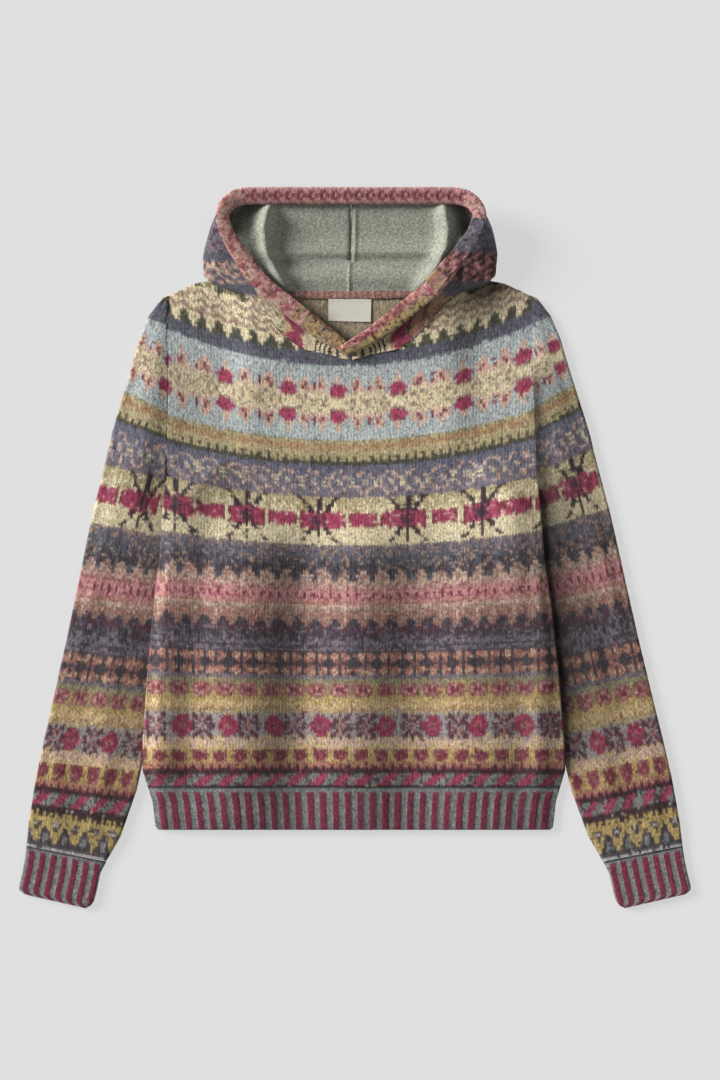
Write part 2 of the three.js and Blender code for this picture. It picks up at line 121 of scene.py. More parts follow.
def top_edge(neck, a):
    """Height of a panel's upper edge: neckline, then shoulder."""
    return np.interp(np.abs(a), neck["a"] + SHOULDER["a"], neck["y"] + SHOULDER["y"])


def rolled(distance, edge, thickness):
    """A cloth's edge turns down through half a circle: how far the surface gets, and how far it drops."""
    radius = thickness / 2
    past = np.clip(distance - (edge - radius), 0, math.pi * radius)
    angle = past / radius
    reach = np.minimum(distance, edge - radius) + radius * np.sin(angle)
    return reach, radius * (1 - np.cos(angle)), distance > edge - radius + math.pi * radius


def points_of(x, y, z):
    """A grid of points from the grids of its coordinates."""
    return np.stack(np.broadcast_arrays(x, y, z), axis=-1)


def leg_line(legs, width):
    """Places of the legs' edges along a row, counted from its middle."""
    return np.arange(-legs // 2, legs // 2 + 1) * width


def faces_left(gone):
    """A face stays unless all four of its corners lie past the edge of the piece."""
    return ~(gone[:-1, :-1] & gone[:-1, 1:] & gone[1:, 1:] & gone[1:, :-1])


# %% [markdown]
# ## What lies on what
#
# The garment has up to six layers of cloth: the folded hood makes a soft mound under the upper back, the
# sleeves' inner edges lie under the body's sides, and front and back touch at their seams. A cloth
# simulation could settle them, but it is slow, and thin layers slip through each other. The heights are
# written down instead: each layer's height is a soft function of (a, y), and the next layer adds its own
# thickness to it.


# %% Heights of the layers
def under_body(a, y):
    """How high the back panel's underside lies: on the folded hood, on the sleeves or on the table."""
    beside = np.maximum(np.abs(a) - POUCH["half_width"] - 2, 0)
    below = np.maximum(POUCH["low"] - 18 - y, 0)
    over_pouch = (POUCH["height"] + SEAM) * (1 - smooth(np.hypot(beside, below) / POUCH["reach"]))
    tucked = smooth((84 - y) / 30) * smooth((y + 274) / 24)
    over_sleeve = TUCK_HEIGHT * tucked * smooth((np.abs(a) - half_width(y) + 62) / 34)
    return np.maximum(over_pouch, over_sleeve)


def body_space(a, y):
    """Space between front and back: none but the seam's at the side seams and shoulders."""
    side = np.maximum(smooth((half_width(y) - np.abs(a)) / 34), smooth((y - UNDERARM) / 30))
    from_shoulder = np.interp(np.maximum(np.abs(a), 114), SHOULDER["a"], SHOULDER["y"]) - y
    return SEAM + LOFT * side * smooth(from_shoulder / 30)


def front_top(a, y):
    """Height of the front's outer face, before its folds."""
    return under_body(a, y) + 2 * KNIT + body_space(a, y)


# %% [markdown]
# ## Yarns
#
# The wool is heathered: every yarn is spun from fibres of several colours. One flat colour for each yarn
# would look printed. So each yarn has its main colour and a fleck colour, every leg of every stitch is
# mixed a little differently, and neighbours share some of their colour, as they do under brushed fuzz.


# %% The yarn shelf
def linear(hex_colour):
    """A yarn's colour as linear light."""
    parts = [int(hex_colour[i : i + 2], 16) / 255 for i in (1, 3, 5)]
    return np.array([c / 12.92 if c <= 0.04045 else ((c + 0.055) / 1.055) ** 2.4 for c in parts])


YARNS = {
    "b": ("#a5b1b5", "#c8c9c1"),  # light blue
    "n": ("#50525e", "#74727b"),  # navy
    "s": ("#5f6074", "#8a8795"),  # slate lilac
    "h": ("#66606a", "#988891"),  # slate heather
    "v": ("#39343c", "#62565c"),  # charcoal
    "x": ("#33262c", "#4c3c44"),  # star charcoal
    "k": ("#2e1d23", "#54393c"),  # black cherry
    "o": ("#42413a", "#6a664f"),  # dark olive
    "K": ("#a19876", "#857c61"),  # khaki
    "g": ("#b59c60", "#c9b078"),  # gold
    "t": ("#a9845f", "#bb9a72"),  # tan
    "G": ("#d8c091", "#cba67c"),  # yellow cream
    "c": ("#dccfab", "#cdbb96"),  # cream
    "C": ("#ecdfbb", "#d6c39c"),  # warm cream
    "d": ("#c9a597", "#d9bfab"),  # dusty pink
    "l": ("#c3b48c", "#ab9c75"),  # straw
    "p": ("#cfa48c", "#dcbba2"),  # peach
    "a": ("#b8826c", "#a4705f"),  # salmon
    "m": ("#cb888b", "#daa8a2"),  # rose
    "f": ("#98655f", "#ad7a70"),  # faded rose
    "r": ("#a03355", "#b25670"),  # raspberry
    "R": ("#762c3e", "#934652"),  # burgundy
    "q": ("#56303f", "#6f4a55"),  # plum
    "y": ("#aca29c", "#8b8389"),  # stone
    "e": ("#6f7171", "#9a9c99"),  # rib grey
    "E": ("#a8a6a3", "#c2bfb8"),  # pale grey
    "w": ("#c9a29c", "#d6bdb0"),  # pale pink
    "z": ("#9a7d6f", "#b49b8a"),  # dusty brown
    "i": ("#9a8f76", "#ab9f85"),  # inside of the cloth
    "B": ("#73203a", "#8c3b52"),  # rib raspberry
}
LETTERS = sorted(YARNS)
MAIN = np.array([linear(YARNS[letter][0]) for letter in LETTERS])
FLECK = np.array([linear(YARNS[letter][1]) for letter in LETTERS])
print("yarns on the shelf:", len(LETTERS))


# %% [markdown]
# ## Charts
#
# A Fair Isle chart is a few letters wide and repeats along the row. Its first line is its top row, and a
# full stop is the ground yarn. The charts are the common flowers, stars, crosses and teeth of such
# knitting, written like a knitter's own. A band gives its number of rows, its ground from bottom
# to top, and the chart laid over it.

# %% The small repeats
SLANTS = ["....RrrR", "...Rrrr.", "..rrrR..", "..Rrrr..", ".rrrR...", "Rrrr...."]
DARK_TEETH = [".R.", ".k.", "RkR", "kkk"]
BLOCKS = ["RfRRR..", "RRRRf..", "fRRRR..", "RRfRR..", "fRRRf..", ".RRf..."]
ROUNDS = [
    ".........q..q..q",
    "..RrR....qq.q.qq",
    ".RrrrR...qqf.fqq",
    ".rRrRr....qq.qq.",
    "rrrRrrR..q.qfq.q",
    "rRrfrRr.qqqf.fqq",
    "RrfqfrR..q..q..q",
    "rRrfrRr.qqqf.fqq",
    "RrrRrrr..q.qfq.q",
    ".rRrRr....qq.qq.",
    ".RrrrR...qqf.fqq",
    "..RrR....qq.q.qq",
    ".........q..q..q",
]
ROSES = [".fffff..", "fRfmfRf.", "fmRfRff.", "ffRRRmf.", "fmRfRff.", "fRfmfRf.", ".fffff.."]
CROSS = [".pa.af..", "afp.pfa.", "apa.fap.", ".af.fa..", "..f.f...", "...v...."]
TEETH_DOWN = ["ffzzff", "zfzdzf", ".zffz.", ".fzzf.", "..fz..", "..zf.."]
TEETH_UP = ["..dz..", "..fd..", ".dzzd.", ".zdfz.", ".dzdd.", "zdzddz"]
DOTS = ["mmm", "mRm", "mRm", "mrf", "fmm"]
RINGS = [
    "..dyd...",
    ".p...d..",
    ".d...y..",
    "y.....dc",
    "...cy...",
    "c..yd..c",
    "...yc...",
    "d.....yc",
    ".y...d..",
    ".d...p..",
    "..dyd...",
]
OLIVE_TEETH = [".o.", ".o.", ".o.", "ooo", "ooo"]
LEAVES = [
    "..........p..........",
    "...p......p......p...",
    "...pd.....p......p...",
    "..pdp....pdp....pdp..",
    "R.pRdp...pdp...pdRp..",
    "R.dRdd..pRrRp..ddRd..",
    "RpdfRd..rrrrr..dRfdp.",
    "RpddRd.rrrRrrr.dRddp.",
    "ddcddc.rrrrrrr.cddcdd",
    "dcccdcd.rrrrr.dcdcccd",
    "ccczcccdRrrrRdccczccc",
    "cczcczcczzzzzcczcczcc",
    "czccczccCCcCCcczccczc",
    "zccczcczCCCCCzcczcccz",
    "cccczcczCCCCCzcczcccc",
]
BIG_TEETH = ["..o...", ".ooo..", ".ooo..", ".ooo..", "ooooo.", "ooooo."]
CHEVRONS = ["CCzCCC", "CzzzCC", "zzCzzC", "zCCCzz"]
PATCHES = ["..oo....", ".oooo...", ".oooo...", "..oo...."]
ZIGZAG = [
    "gg....gg",
    "gg.EE.gg",
    ".gg..gg.",
    ".gg..gg.",
    "..gggg..",
    "e.gggg.e",
    "e.gggg.e",
    "e..gg..e",
    "e..gg..e",
]
GOLD_TICKS = ["g.", "g.", "gg"]


def both_ways(chart):
    """A chart that is the same upside down, from its upper half."""
    return chart + chart[-2::-1]


print("flower chart:", len(LEAVES[0]), "stitches wide,", len(both_ways(LEAVES)), "rows high")


# %% [markdown]
# The body's bands, from the rib upwards. A repeat of even width would be simplest, but the flowers and
# stars sit unevenly across the front, so those bands name the stitches that their motifs are centred on.

# %% Bands of the body
FLOWER_PLACES = [-109, -87, -66, -44, -22, -5, 16, 39, 60, 82, 104]
STAR_PLACES = [-87, -62, -37, -12, 19, 45, 70, 94]
BANDS = [
    {"rows": 1, "ground": "kk"},
    {"rows": 6, "ground": "ee", "flecks": "v", "chart": SLANTS},
    {"rows": 5, "ground": "aa", "chart": DARK_TEETH + ["kkk"]},
    {"rows": 1, "ground": "at"},
    {"rows": 6, "ground": "gg", "chart": BLOCKS},
    {"rows": 5, "ground": "Gd"},
    {"rows": 14, "ground": "Gyyyyyyl", "chart": ROUNDS, "mirror": 8},
    {"rows": 6, "ground": "tGg"},
    {"rows": 9, "ground": "gK", "chart": ROSES, "lift": 1},
    {"rows": 1, "ground": "KK"},
    {"rows": 2, "ground": "hh"},
    {"rows": 12, "ground": "vv", "chart": both_ways(CROSS), "period": 8.6},
    {"rows": 3, "ground": "hv"},
    {"rows": 9, "ground": "hvq", "flecks": "h"},
    {"rows": 8, "ground": "vv", "chart": ["fazdaz", "zfadfd"] + TEETH_DOWN, "period": 6.5},
    {"rows": 3, "ground": "zd"},
    {"rows": 2, "ground": "am"},
    {"rows": 5, "ground": "mm", "chart": DOTS},
    {"rows": 1, "ground": "mf"},
    {"rows": 9, "ground": "nv", "chart": TEETH_UP + ["dfzddz", "zddmfd", "fdmdfm"], "period": 6.7},
    {"rows": 13, "ground": "vnh", "flecks": "z"},
    {"rows": 24, "ground": "CCl", "stars": STAR_PLACES},
    {"rows": 16, "ground": "hs", "chart": RINGS, "lift": 2, "period": 8.9},
    {"rows": 6, "ground": "ll", "chart": OLIVE_TEETH},
    {"rows": 2, "ground": "ll"},
    {"rows": 4, "ground": "tt", "flecks": "l"},
    {"rows": 2, "ground": "lK"},
    {"rows": 4, "ground": "bb"},
    {"rows": 29, "ground": "bb", "chart": both_ways(LEAVES), "places": FLOWER_PLACES},
    {"rows": 4, "ground": "bb"},
    {"rows": 6, "ground": "nn"},
    {"rows": 6, "ground": "CC", "chart": BIG_TEETH},
    {"rows": 12, "ground": "CC", "chart": CHEVRONS * 3},
    {"rows": 5, "ground": "CK", "chart": PATCHES},
    {"rows": 21, "ground": "Kl", "flecks": "o"},
]
CUFF_BANDS = [
    {"rows": 1, "ground": "EE"},
    {"rows": 2, "ground": "vv"},
    {"rows": 9, "ground": "vv", "chart": ZIGZAG, "period": 7.8},
    {"rows": 1, "ground": "gg"},
    {"rows": 3, "ground": "kk", "chart": GOLD_TICKS, "period": 2.65},
    {"rows": 2, "ground": "kk"},
]


# %% [markdown]
# `knit_chart` turns bands into a grid of yarn letters, one for each row and stitch. Stars are drawn by
# rule: an upright arm, two slanting arms, and a dash of raspberry blocks behind them. At the end a few
# stitches borrow their neighbour's yarn, because the brushed wool hides the exact edge of a motif.


# %% From bands to a grid of yarns
def star_band(grid, columns, places):
    """A dark star on every place, and a row of raspberry dashes with a gap on each side of half way."""
    rows = grid.shape[0]
    middle = rows // 2
    up = np.arange(rows)[:, None] - middle
    across = columns[None, :]
    half_way = [(p + q) / 2 for p, q in zip(places, places[1:])]
    to_gap = np.min([np.abs(np.abs(across - place) - 5.5) for place in half_way], axis=0)
    to_star = np.min([np.abs(across - place) for place in places], axis=0)
    # The dashes are thicker behind a star, and a quarter of their stitches end a row earlier.
    half = np.where(to_star < 7.5, 4, 3) - (random.random(grid.shape) < 0.25)
    dash = (np.abs(up) <= half) & (to_gap > 0.9)
    grid[dash] = "r"
    grid[dash & (to_gap <= 1.9)] = "R"
    grid[dash & (random.random(grid.shape) < 0.06)] = "m"
    for place in places:
        d = across - place
        size = np.abs(up)
        heart = (np.abs(d) <= 2) & (size <= 2) & (random.random(grid.shape) < 0.8)
        grid[heart] = "q"
        upright = ((d == 0) | ((d == 1) & (up > 4))) & (size < middle)
        slanting = (np.abs(np.abs(d) - size / 1.8) < 1.0) & (size > 3) & (size < 12)
        broken = (up < 0) & (size % 4 == 0) & (np.abs(d) > 3)
        grid[(upright | slanting) & ~broken] = "x"


def lay_tiles(grid, columns, chart, places, lift):
    """Stretches the chart a little, so that its middle comes at every place."""
    wide = len(chart[0])
    places = np.array(places)
    cell = np.clip(np.searchsorted(places, columns, side="right") - 1, 0, len(places) - 2)
    share = (columns - places[cell]) / (places[cell + 1] - places[cell])
    at = (np.rint(share * wide).astype(int) + wide // 2) % wide
    for line, letters in enumerate(reversed(chart)):
        laid = np.array(list(letters))[at]
        grid[line + lift] = np.where(laid == ".", grid[line + lift], laid)


def feathered(grid, amount):
    """A few stitches take the yarn of the stitch beside or above them."""
    for axis in (0, 1):
        for way in (-1, 1):
            borrow = random.random(grid.shape) < amount
            grid = np.where(borrow, np.roll(grid, way, axis=axis), grid)
    return grid


# %% Bands into letters
def knit_chart(bands, columns, feather=0.06):
    """Yarn letters for every row, bottom row first, and every stitch number in columns."""
    parts = []
    for band in bands:
        rows = band["rows"]
        share = (np.arange(rows) + 0.5) / rows
        dither = random.random((rows, len(columns)))
        yarns = np.array(list(band["ground"]))
        grid = yarns[(share[:, None] * (len(yarns) - 1) + dither).astype(int)]
        lift = band.get("lift", 0)
        if "flecks" in band:
            grid[random.random(grid.shape) < 0.22] = band["flecks"]
        if "stars" in band:
            star_band(grid, columns, band["stars"])
        elif "places" in band:
            lay_tiles(grid, columns, band["chart"], band["places"], lift)
        elif "chart" in band:
            chart = band["chart"]
            at = columns if "mirror" not in band else np.abs(columns * 2 + 1) // 2 - band["mirror"]
            at = np.floor(at * len(chart[0]) / band.get("period", len(chart[0]))).astype(int)
            for line, letters in enumerate(reversed(chart)):
                if line + lift < rows:
                    laid = np.array(list(letters))[at % len(letters)]
                    grid[line + lift] = np.where(laid == ".", grid[line + lift], laid)
        parts.append(grid)
    return feathered(np.vstack(parts), feather)


# %% Letters into colours
def yarn_colours(letters, legs_per_stitch=2, unevenness=0.34):
    """Linear colours for every leg of every stitch, heathered leg by leg and softened by the fuzz."""
    index = np.searchsorted(LETTERS, letters).repeat(legs_per_stitch, axis=1)
    fleck = random.random(index.shape) ** 1.6
    colour = mix(MAIN[index], FLECK[index], fleck[..., None])
    padded = np.pad(colour, ((1, 1), (1, 1), (0, 0)), "edge")
    beside = padded[1:-1, :-2] + padded[1:-1, 2:] + padded[:-2, 1:-1] + padded[2:, 1:-1]
    colour = mix(colour, beside / 4, 0.36)
    tone = 1.06 * np.exp(-np.abs(random.normal(0, unevenness, index.shape)))
    warmth = random.normal(0, 0.03, index.shape)
    tint = np.stack([1 + warmth, np.ones_like(warmth), 1 - warmth], axis=-1)
    return np.clip(colour * tone[..., None] * tint, 0, 1)


CHART_ROWS = sum(band["rows"] for band in BANDS)
print("rows of the body's chart:", CHART_ROWS)

# %% [markdown]
# ## Making a knitted mesh
#
# A mesh is a grid of points, one column for each edge of a leg and one row for each row of knitting.
# Every second column is set lower, so that each pair of faces makes a V. Faces that lie past the edge of
# the piece are left out, which is quicker and cleaner than cutting a shape with a modifier. The colours go
# into a colour attribute, and two UV maps go with them: one counts legs and rows, for the stitches' relief,
# and one fills the unit square.


# %% Mesh from a grid
def chevron(rows, columns, flat_rows=2):
    """How far each point of the grid is moved along the rows, as a share of a row."""
    drop = np.where(np.arange(columns) % 2 == 0, 0.42, -0.42)
    from_end = np.minimum(np.arange(rows), rows - 1 - np.arange(rows))
    return drop[None, :] * smooth(from_end / flat_rows)[:, None]


def grid_object(name, points, keep, colours, up=True, bake=(0, 0, 1, 1)):
    """points: rows x columns x 3, in mm; keep and colours are given for each face.
    bake is the part of the unit square that the piece's own UV map fills."""
    rows, columns = points.shape[:2]
    number = np.arange(rows * columns).reshape(rows, columns)
    corners = [number[:-1, :-1], number[:-1, 1:], number[1:, 1:], number[1:, :-1]]
    faces = np.stack(corners if up else corners[::-1], axis=-1)[keep]
    used, faces = np.unique(faces, return_inverse=True)
    faces = faces.reshape(-1, 4)
    mesh = bpy.data.meshes.new(name)
    mesh.from_pydata((points.reshape(-1, 3)[used] * MM).tolist(), [], faces.tolist())
    mesh.polygons.foreach_set("use_smooth", np.ones(len(faces), bool))
    row_of, column_of = np.divmod(used, columns)
    across = column_of[faces].reshape(-1)
    along = row_of[faces].reshape(-1)
    filling = [mix(bake[0], bake[2], across / (columns - 1)), mix(bake[1], bake[3], along / (rows - 1))]
    for title, uv in (("OFBake", filling), ("Stitch", [across, along])):
        layer = mesh.uv_layers.new(name=title)
        layer.data.foreach_set("uv", np.stack(uv, axis=-1).astype(float).reshape(-1))
    yarn = mesh.color_attributes.new("yarn", "FLOAT_COLOR", "CORNER")
    filled = np.concatenate([colours[keep], np.ones((len(faces), 1))], axis=1)
    yarn.data.foreach_set("color", np.repeat(filled, 4, axis=0).reshape(-1))
    piece = bpy.data.objects.new(name, mesh)
    bpy.context.scene.collection.objects.link(piece)
    area = sum(face.area for face in mesh.polygons)
    print(f"{name}: {len(faces)} faces, {area:.3f} square metres")
    return piece


# %% [markdown]
# ## Shared shader effects
#
# Wool scatters light in its fuzz, so it has no gloss and a soft pale edge, which the sheen gives. Finer
# things than a stitch aren't worth faces, so they are left to the shader. Two node groups serve every
# woollen piece: one breaks up the yarn's colour into fibres, and one gives each leg of a stitch its round
# twisted relief and paints shade into the colour between the legs. The Principled shader stays in each
# material.


# %% Node helpers
def new_group(name, inputs, outputs):
    group = bpy.data.node_groups.new(name, "ShaderNodeTree")
    for title, kind, value in inputs:
        socket = group.interface.new_socket(title, in_out="INPUT", socket_type=kind)
        if value is not None:
            socket.default_value = value
    for title, kind in outputs:
        group.interface.new_socket(title, in_out="OUTPUT", socket_type=kind)
    return group, group.nodes.new("NodeGroupInput"), group.nodes.new("NodeGroupOutput")


def maths(tree, operation, first, second=None, third=None):
    node = tree.nodes.new("ShaderNodeMath")
    node.operation = operation
    for socket, value in zip(node.inputs, (first, second, third)):
        if isinstance(value, (int, float)):
            socket.default_value = value
        elif value is not None:
            tree.links.new(value, socket)
    return node.outputs[0]


def scaled(tree, colour, factor):
    node = tree.nodes.new("ShaderNodeVectorMath")
    node.operation = "SCALE"
    tree.links.new(colour, node.inputs[0])
    tree.links.new(factor, node.inputs["Scale"])
    return node.outputs[0]


def noise(tree, vector, scale, detail=2.0):
    node = tree.nodes.new("ShaderNodeTexNoise")
    node.inputs["Scale"].default_value = scale
    node.inputs["Detail"].default_value = detail
    tree.links.new(vector, node.inputs["Vector"])
    return node.outputs["Fac"]


# %% Fibres in the yarn
def make_heather():
    group, given, result = new_group(
        "Heather",
        [("Colour", "NodeSocketColor", (0.5, 0.5, 0.5, 1)), ("Amount", "NodeSocketFloat", 0.3)],
        [("Colour", "NodeSocketColor"), ("Fibre", "NodeSocketFloat")],
    )
    place = group.nodes.new("ShaderNodeTexCoord").outputs["Object"]
    coarse = noise(group, place, 420.0)
    fine = noise(group, place, 1500.0, 1.0)
    both = maths(group, "ADD", maths(group, "MULTIPLY", coarse, 1.3), maths(group, "MULTIPLY", fine, 0.9))
    swing = maths(group, "MULTIPLY", maths(group, "SUBTRACT", both, 1.1), given.outputs["Amount"])
    level = maths(group, "ADD", maths(group, "MULTIPLY", swing, 2.2), 1.0)
    group.links.new(scaled(group, given.outputs["Colour"], level), result.inputs["Colour"])
    group.links.new(fine, result.inputs["Fibre"])
    return group


# %% Relief of the stitches
def make_stitch_relief():
    group, given, result = new_group(
        "Stitch relief",
        [("Stitch UV", "NodeSocketVector", None), ("Fibre", "NodeSocketFloat", 0.5)],
        [("Height", "NodeSocketFloat"), ("Shade", "NodeSocketFloat")],
    )
    split = group.nodes.new("ShaderNodeSeparateXYZ")
    group.links.new(given.outputs["Stitch UV"], split.inputs[0])
    across = maths(group, "FRACT", split.outputs["X"])
    along = maths(group, "FRACT", split.outputs["Y"])
    leg = maths(group, "SINE", maths(group, "MULTIPLY", across, math.pi))
    bead = maths(group, "SINE", maths(group, "MULTIPLY", along, math.pi))
    round_leg = maths(group, "POWER", leg, 0.7)
    body = maths(group, "MULTIPLY", round_leg, maths(group, "MULTIPLY_ADD", bead, 0.45, 0.55))
    height = maths(group, "MULTIPLY_ADD", given.outputs["Fibre"], 0.5, body)
    group.links.new(height, result.inputs["Height"])
    # Painted shade and light: the colour is darker between the legs and a little lighter on their crests.
    group.links.new(maths(group, "MULTIPLY_ADD", body, 0.14, 0.92), result.inputs["Shade"])
    return group


HEATHER = make_heather()
STITCH_RELIEF = make_stitch_relief()


# %% What all the materials share
def placed(tree, group):
    node = tree.nodes.new("ShaderNodeGroup")
    node.node_tree = group
    return node


def spun(name, roughness, sheen, sheen_roughness, heather):
    """A material whose colour is the yarn's, broken up into fibres."""
    material = bpy.data.materials.new(name)
    material.use_nodes = True
    tree = material.node_tree
    shader = tree.nodes["Principled BSDF"]
    shader.inputs["Roughness"].default_value = roughness
    shader.inputs["Sheen Weight"].default_value = sheen
    shader.inputs["Sheen Roughness"].default_value = sheen_roughness
    shader.inputs["Specular IOR Level"].default_value = 0.25
    yarn = tree.nodes.new("ShaderNodeAttribute")
    yarn.attribute_name = "yarn"
    fibres = placed(tree, HEATHER)
    fibres.inputs["Amount"].default_value = heather
    tree.links.new(yarn.outputs["Color"], fibres.inputs["Colour"])
    return material, tree, shader, fibres


def bumped(tree, shader, height, distance, strength):
    bump = tree.nodes.new("ShaderNodeBump")
    bump.inputs["Distance"].default_value = distance
    bump.inputs["Strength"].default_value = strength
    tree.links.new(height, bump.inputs["Height"])
    tree.links.new(bump.outputs[0], shader.inputs["Normal"])


# %% Knitted wool
def knitted_wool(name, heather=0.42, relief=0.0007):
    material, tree, shader, fibres = spun(name, 0.95, 0.22, 0.55, heather)
    stitch = tree.nodes.new("ShaderNodeUVMap")
    stitch.uv_map = "Stitch"
    shape = placed(tree, STITCH_RELIEF)
    tree.links.new(stitch.outputs[0], shape.inputs["Stitch UV"])
    tree.links.new(fibres.outputs["Fibre"], shape.inputs["Fibre"])
    # The stitch relief's painted shade and light multiply the yarn's colour.
    shaded = scaled(tree, fibres.outputs["Colour"], shape.outputs["Shade"])
    tree.links.new(shaded, shader.inputs["Base Color"])
    bumped(tree, shader, shape.outputs["Height"], relief, 0.6)
    return material


# %% Milled wool and cotton
def milled_wool(name):
    """The hood's lining: woven wool, milled until its threads no longer show."""
    material, tree, shader, fibres = spun(name, 0.97, 0.35, 0.6, 0.6)
    tree.links.new(fibres.outputs["Colour"], shader.inputs["Base Color"])
    bumped(tree, shader, fibres.outputs["Fibre"], 0.0005, 0.6)
    return material


def cotton(name):
    material, tree, shader, fibres = spun(name, 0.8, 0.1, 0.5, 0.08)
    tree.links.new(fibres.outputs["Colour"], shader.inputs["Base Color"])
    weave = tree.nodes.new("ShaderNodeTexWave")
    weave.inputs["Scale"].default_value = 600.0
    place = tree.nodes.new("ShaderNodeTexCoord").outputs["Object"]
    tree.links.new(place, weave.inputs["Vector"])
    bumped(tree, shader, weave.outputs["Fac"], 0.0002, 0.5)
    return material


# %% The five materials
PATTERNED = knitted_wool("patterned knit")
RIBBED = knitted_wool("striped rib", heather=0.5, relief=0.0006)
EDGE = knitted_wool("hood edge knit")
LINED = milled_wool("milled lining wool")
COTTON = cotton("label cotton")
print("materials:", len(bpy.data.materials))


# %% [markdown]
# ## Declaring a piece
#
# Every piece rides on the one body, because nothing on a jumper turns or slides. It takes the material it
# is given and stands for its plain solid, which is hidden.


# %% Declaring
def declare(piece, node, material):
    piece.data.materials.append(material)
    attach(piece, "root")
    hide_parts(node)
    return piece


# %% [markdown]
# ## Front and back
#
# The two panels are the largest pieces. The rows of the front sag towards its middle, the more the higher
# they are, so a row is a shallow curve. Wrinkles from a noise texture would be all alike, so the front's
# long soft troughs and ridges are placed one by one: they fade out above the rib, and a few short ones
# start at the armholes. The side seams, the neckline and the shoulders are rolled edges as thick as the
# cloth.
#
# The form alone gives too little shade under soft light, so much of the shade is painted: the yarn's own
# colour is darkened in the valleys, below the hood's corner and on the sleeves beside the body, and across
# the chest it is painted lighter in places and darker in others. That stays whatever the light, and in an
# exported model too. For wool that only its form shades, set every depth in VALLEY_PAINTED_SHADE, YOKE_SHADE
# and SLEEVE_SHADE to 0 and every level in CHEST_PAINTED_LEVEL and SLEEVE_PAINTED_LEVEL to 1.

# %% Folds of the front
# How much higher a row is at the sides than in the middle, and where the knitting is a little denser.
SAG = {"y": [-274, -152, -60, 5, 124, 233, 290, 350], "rise": [-2, 4, 9, 17, 34, 51, 56, 60]}
NUDGE = {"y": [-60, 100, 140, 205, 245, 330], "shift": [0, -1, -5.5, -4.5, -2, -2]}
SAG_AT = 214  # this far from the centre line, a row has its whole rise
CHEST_TILT = 0.014  # above the chest, the rows also climb to the wearer's left
FRONT_WAVE = {
    "a": [-236, -220, -201, -142, -60, -2, 74, 130, 194, 214, 238],
    "rise": [1, 7, 5.2, 12.5, 0, 10.5, -0.5, 7, 1.8, 5, 0],
}
# Shade painted in the valleys, from the wearer's right to the left: depth is the share of brightness lost.
VALLEY_PAINTED_SHADE = [
    {"a": -202, "width": 16, "depth": 0.3},
    {"a": -84, "width": 30, "depth": 0.56},
    {"a": -22, "width": 18, "depth": 0.1},
    {"a": 44, "width": 32, "depth": 0.36},
    {"a": 92, "width": 18, "depth": 0.14},
    {"a": 190, "width": 24, "depth": 0.45},
    {"a": 238, "width": 16, "depth": 0.34},
]
FRONT_FOLDS = [
    {"a": -150, "y": 120, "reach": 80, "width": 28, "rise": 3.4, "slant": 0.42},
    {"a": 150, "y": 110, "reach": 85, "width": 26, "rise": 4.2, "slant": -0.38},
    {"a": -60, "y": 60, "reach": 75, "width": 30, "rise": 2.4, "slant": 0.15},
    {"a": 64, "y": 60, "reach": 80, "width": 28, "rise": 2.6, "slant": -0.2},
    {"a": -190, "y": 60, "reach": 40, "width": 13, "rise": 2.6, "slant": 1.1},
    {"a": 192, "y": 52, "reach": 42, "width": 13, "rise": 3.0, "slant": -1.0},
    {"a": -206, "y": 150, "reach": 55, "width": 7, "rise": 1.8, "slant": 0.0},
]
# Brightness painted across the chest, below and above the yarn's own.
CHEST_PAINTED_LEVEL = {
    "a": [-212, -150, -85, -30, 40, 110, 150, 205],
    "level": [0.8, 0.86, 1, 1.15, 1.08, 1.13, 1.17, 1],
}
# Painted shadow of the hood's corner on the yoke: depth is the share of brightness lost.
YOKE_SHADE = {"a": 160, "y": 262, "reach": 34, "depth": 0.7}  # below the hood's corner


# %% Form of the front
def wave_of(table, a):
    """A soft curve through the crests and valleys of a table."""
    places, rises = np.array(table["a"]), np.array(table["rise"])
    i = np.clip(np.searchsorted(places, a) - 1, 0, len(places) - 2)
    return mix(rises[i], rises[i + 1], smooth((a - places[i]) / (places[i + 1] - places[i])))


def across_valleys(a, y):
    """The long valleys lean a little, so places across them are counted from a leaning line."""
    return a - 0.04 * (y + 150)


def low_on_front(y):
    """The long folds start below the chest and are held flatter by the rib."""
    return (1 - smooth((y + 50) / 130)) * mix(0.45, 1, smooth((y + 296) / 60))


def front_swell(a, y):
    """Two long valleys and a few slight ones run down the front, steeper on one side than on the other."""
    from_side = half_width(y) - np.abs(a)
    wave = wave_of(FRONT_WAVE, across_valleys(a, y)) * low_on_front(y) * smooth((y - HEM_END + 8) / 26)
    return wave * smooth(from_side / 14) + fold_height(a, y, FRONT_FOLDS) * smooth(from_side / 26)


def painted_front_brightness(a, y):
    """Painted brightness: over half is lost in the deepest valley, and more below the hood's corner."""
    chest = smooth((y + 20) / 60) * smooth((210 - y) / 40)
    shade = mix(1, np.interp(a, CHEST_PAINTED_LEVEL["a"], CHEST_PAINTED_LEVEL["level"]), chest)
    from_corner = np.hypot(a - YOKE_SHADE["a"], y - YOKE_SHADE["y"])
    shade = shade * (1 - YOKE_SHADE["depth"] * hill(from_corner, YOKE_SHADE["reach"]))
    for valley in VALLEY_PAINTED_SHADE:
        from_valley = across_valleys(a, y) - valley["a"]
        shade *= 1 - valley["depth"] * hill(from_valley, valley["width"]) * low_on_front(y)
    return shade


def fold_height(a, y, folds):
    """Ridges, each along its own slanting line, fading out at its ends."""
    height = np.zeros(np.broadcast(a, y).shape)
    for fold in folds:
        line = fold["a"] + fold["slant"] * (y - fold["y"])
        fade = np.exp(-(np.abs(y - fold["y"]) / fold["reach"]) ** 3)
        height += fold["rise"] * hill(a - line, fold["width"]) * fade
    return height


# %% Grid of a panel
PANEL_LEGS = 304
ROWS_BELOW = 3  # a few rows more, for the rolled edge at the rib


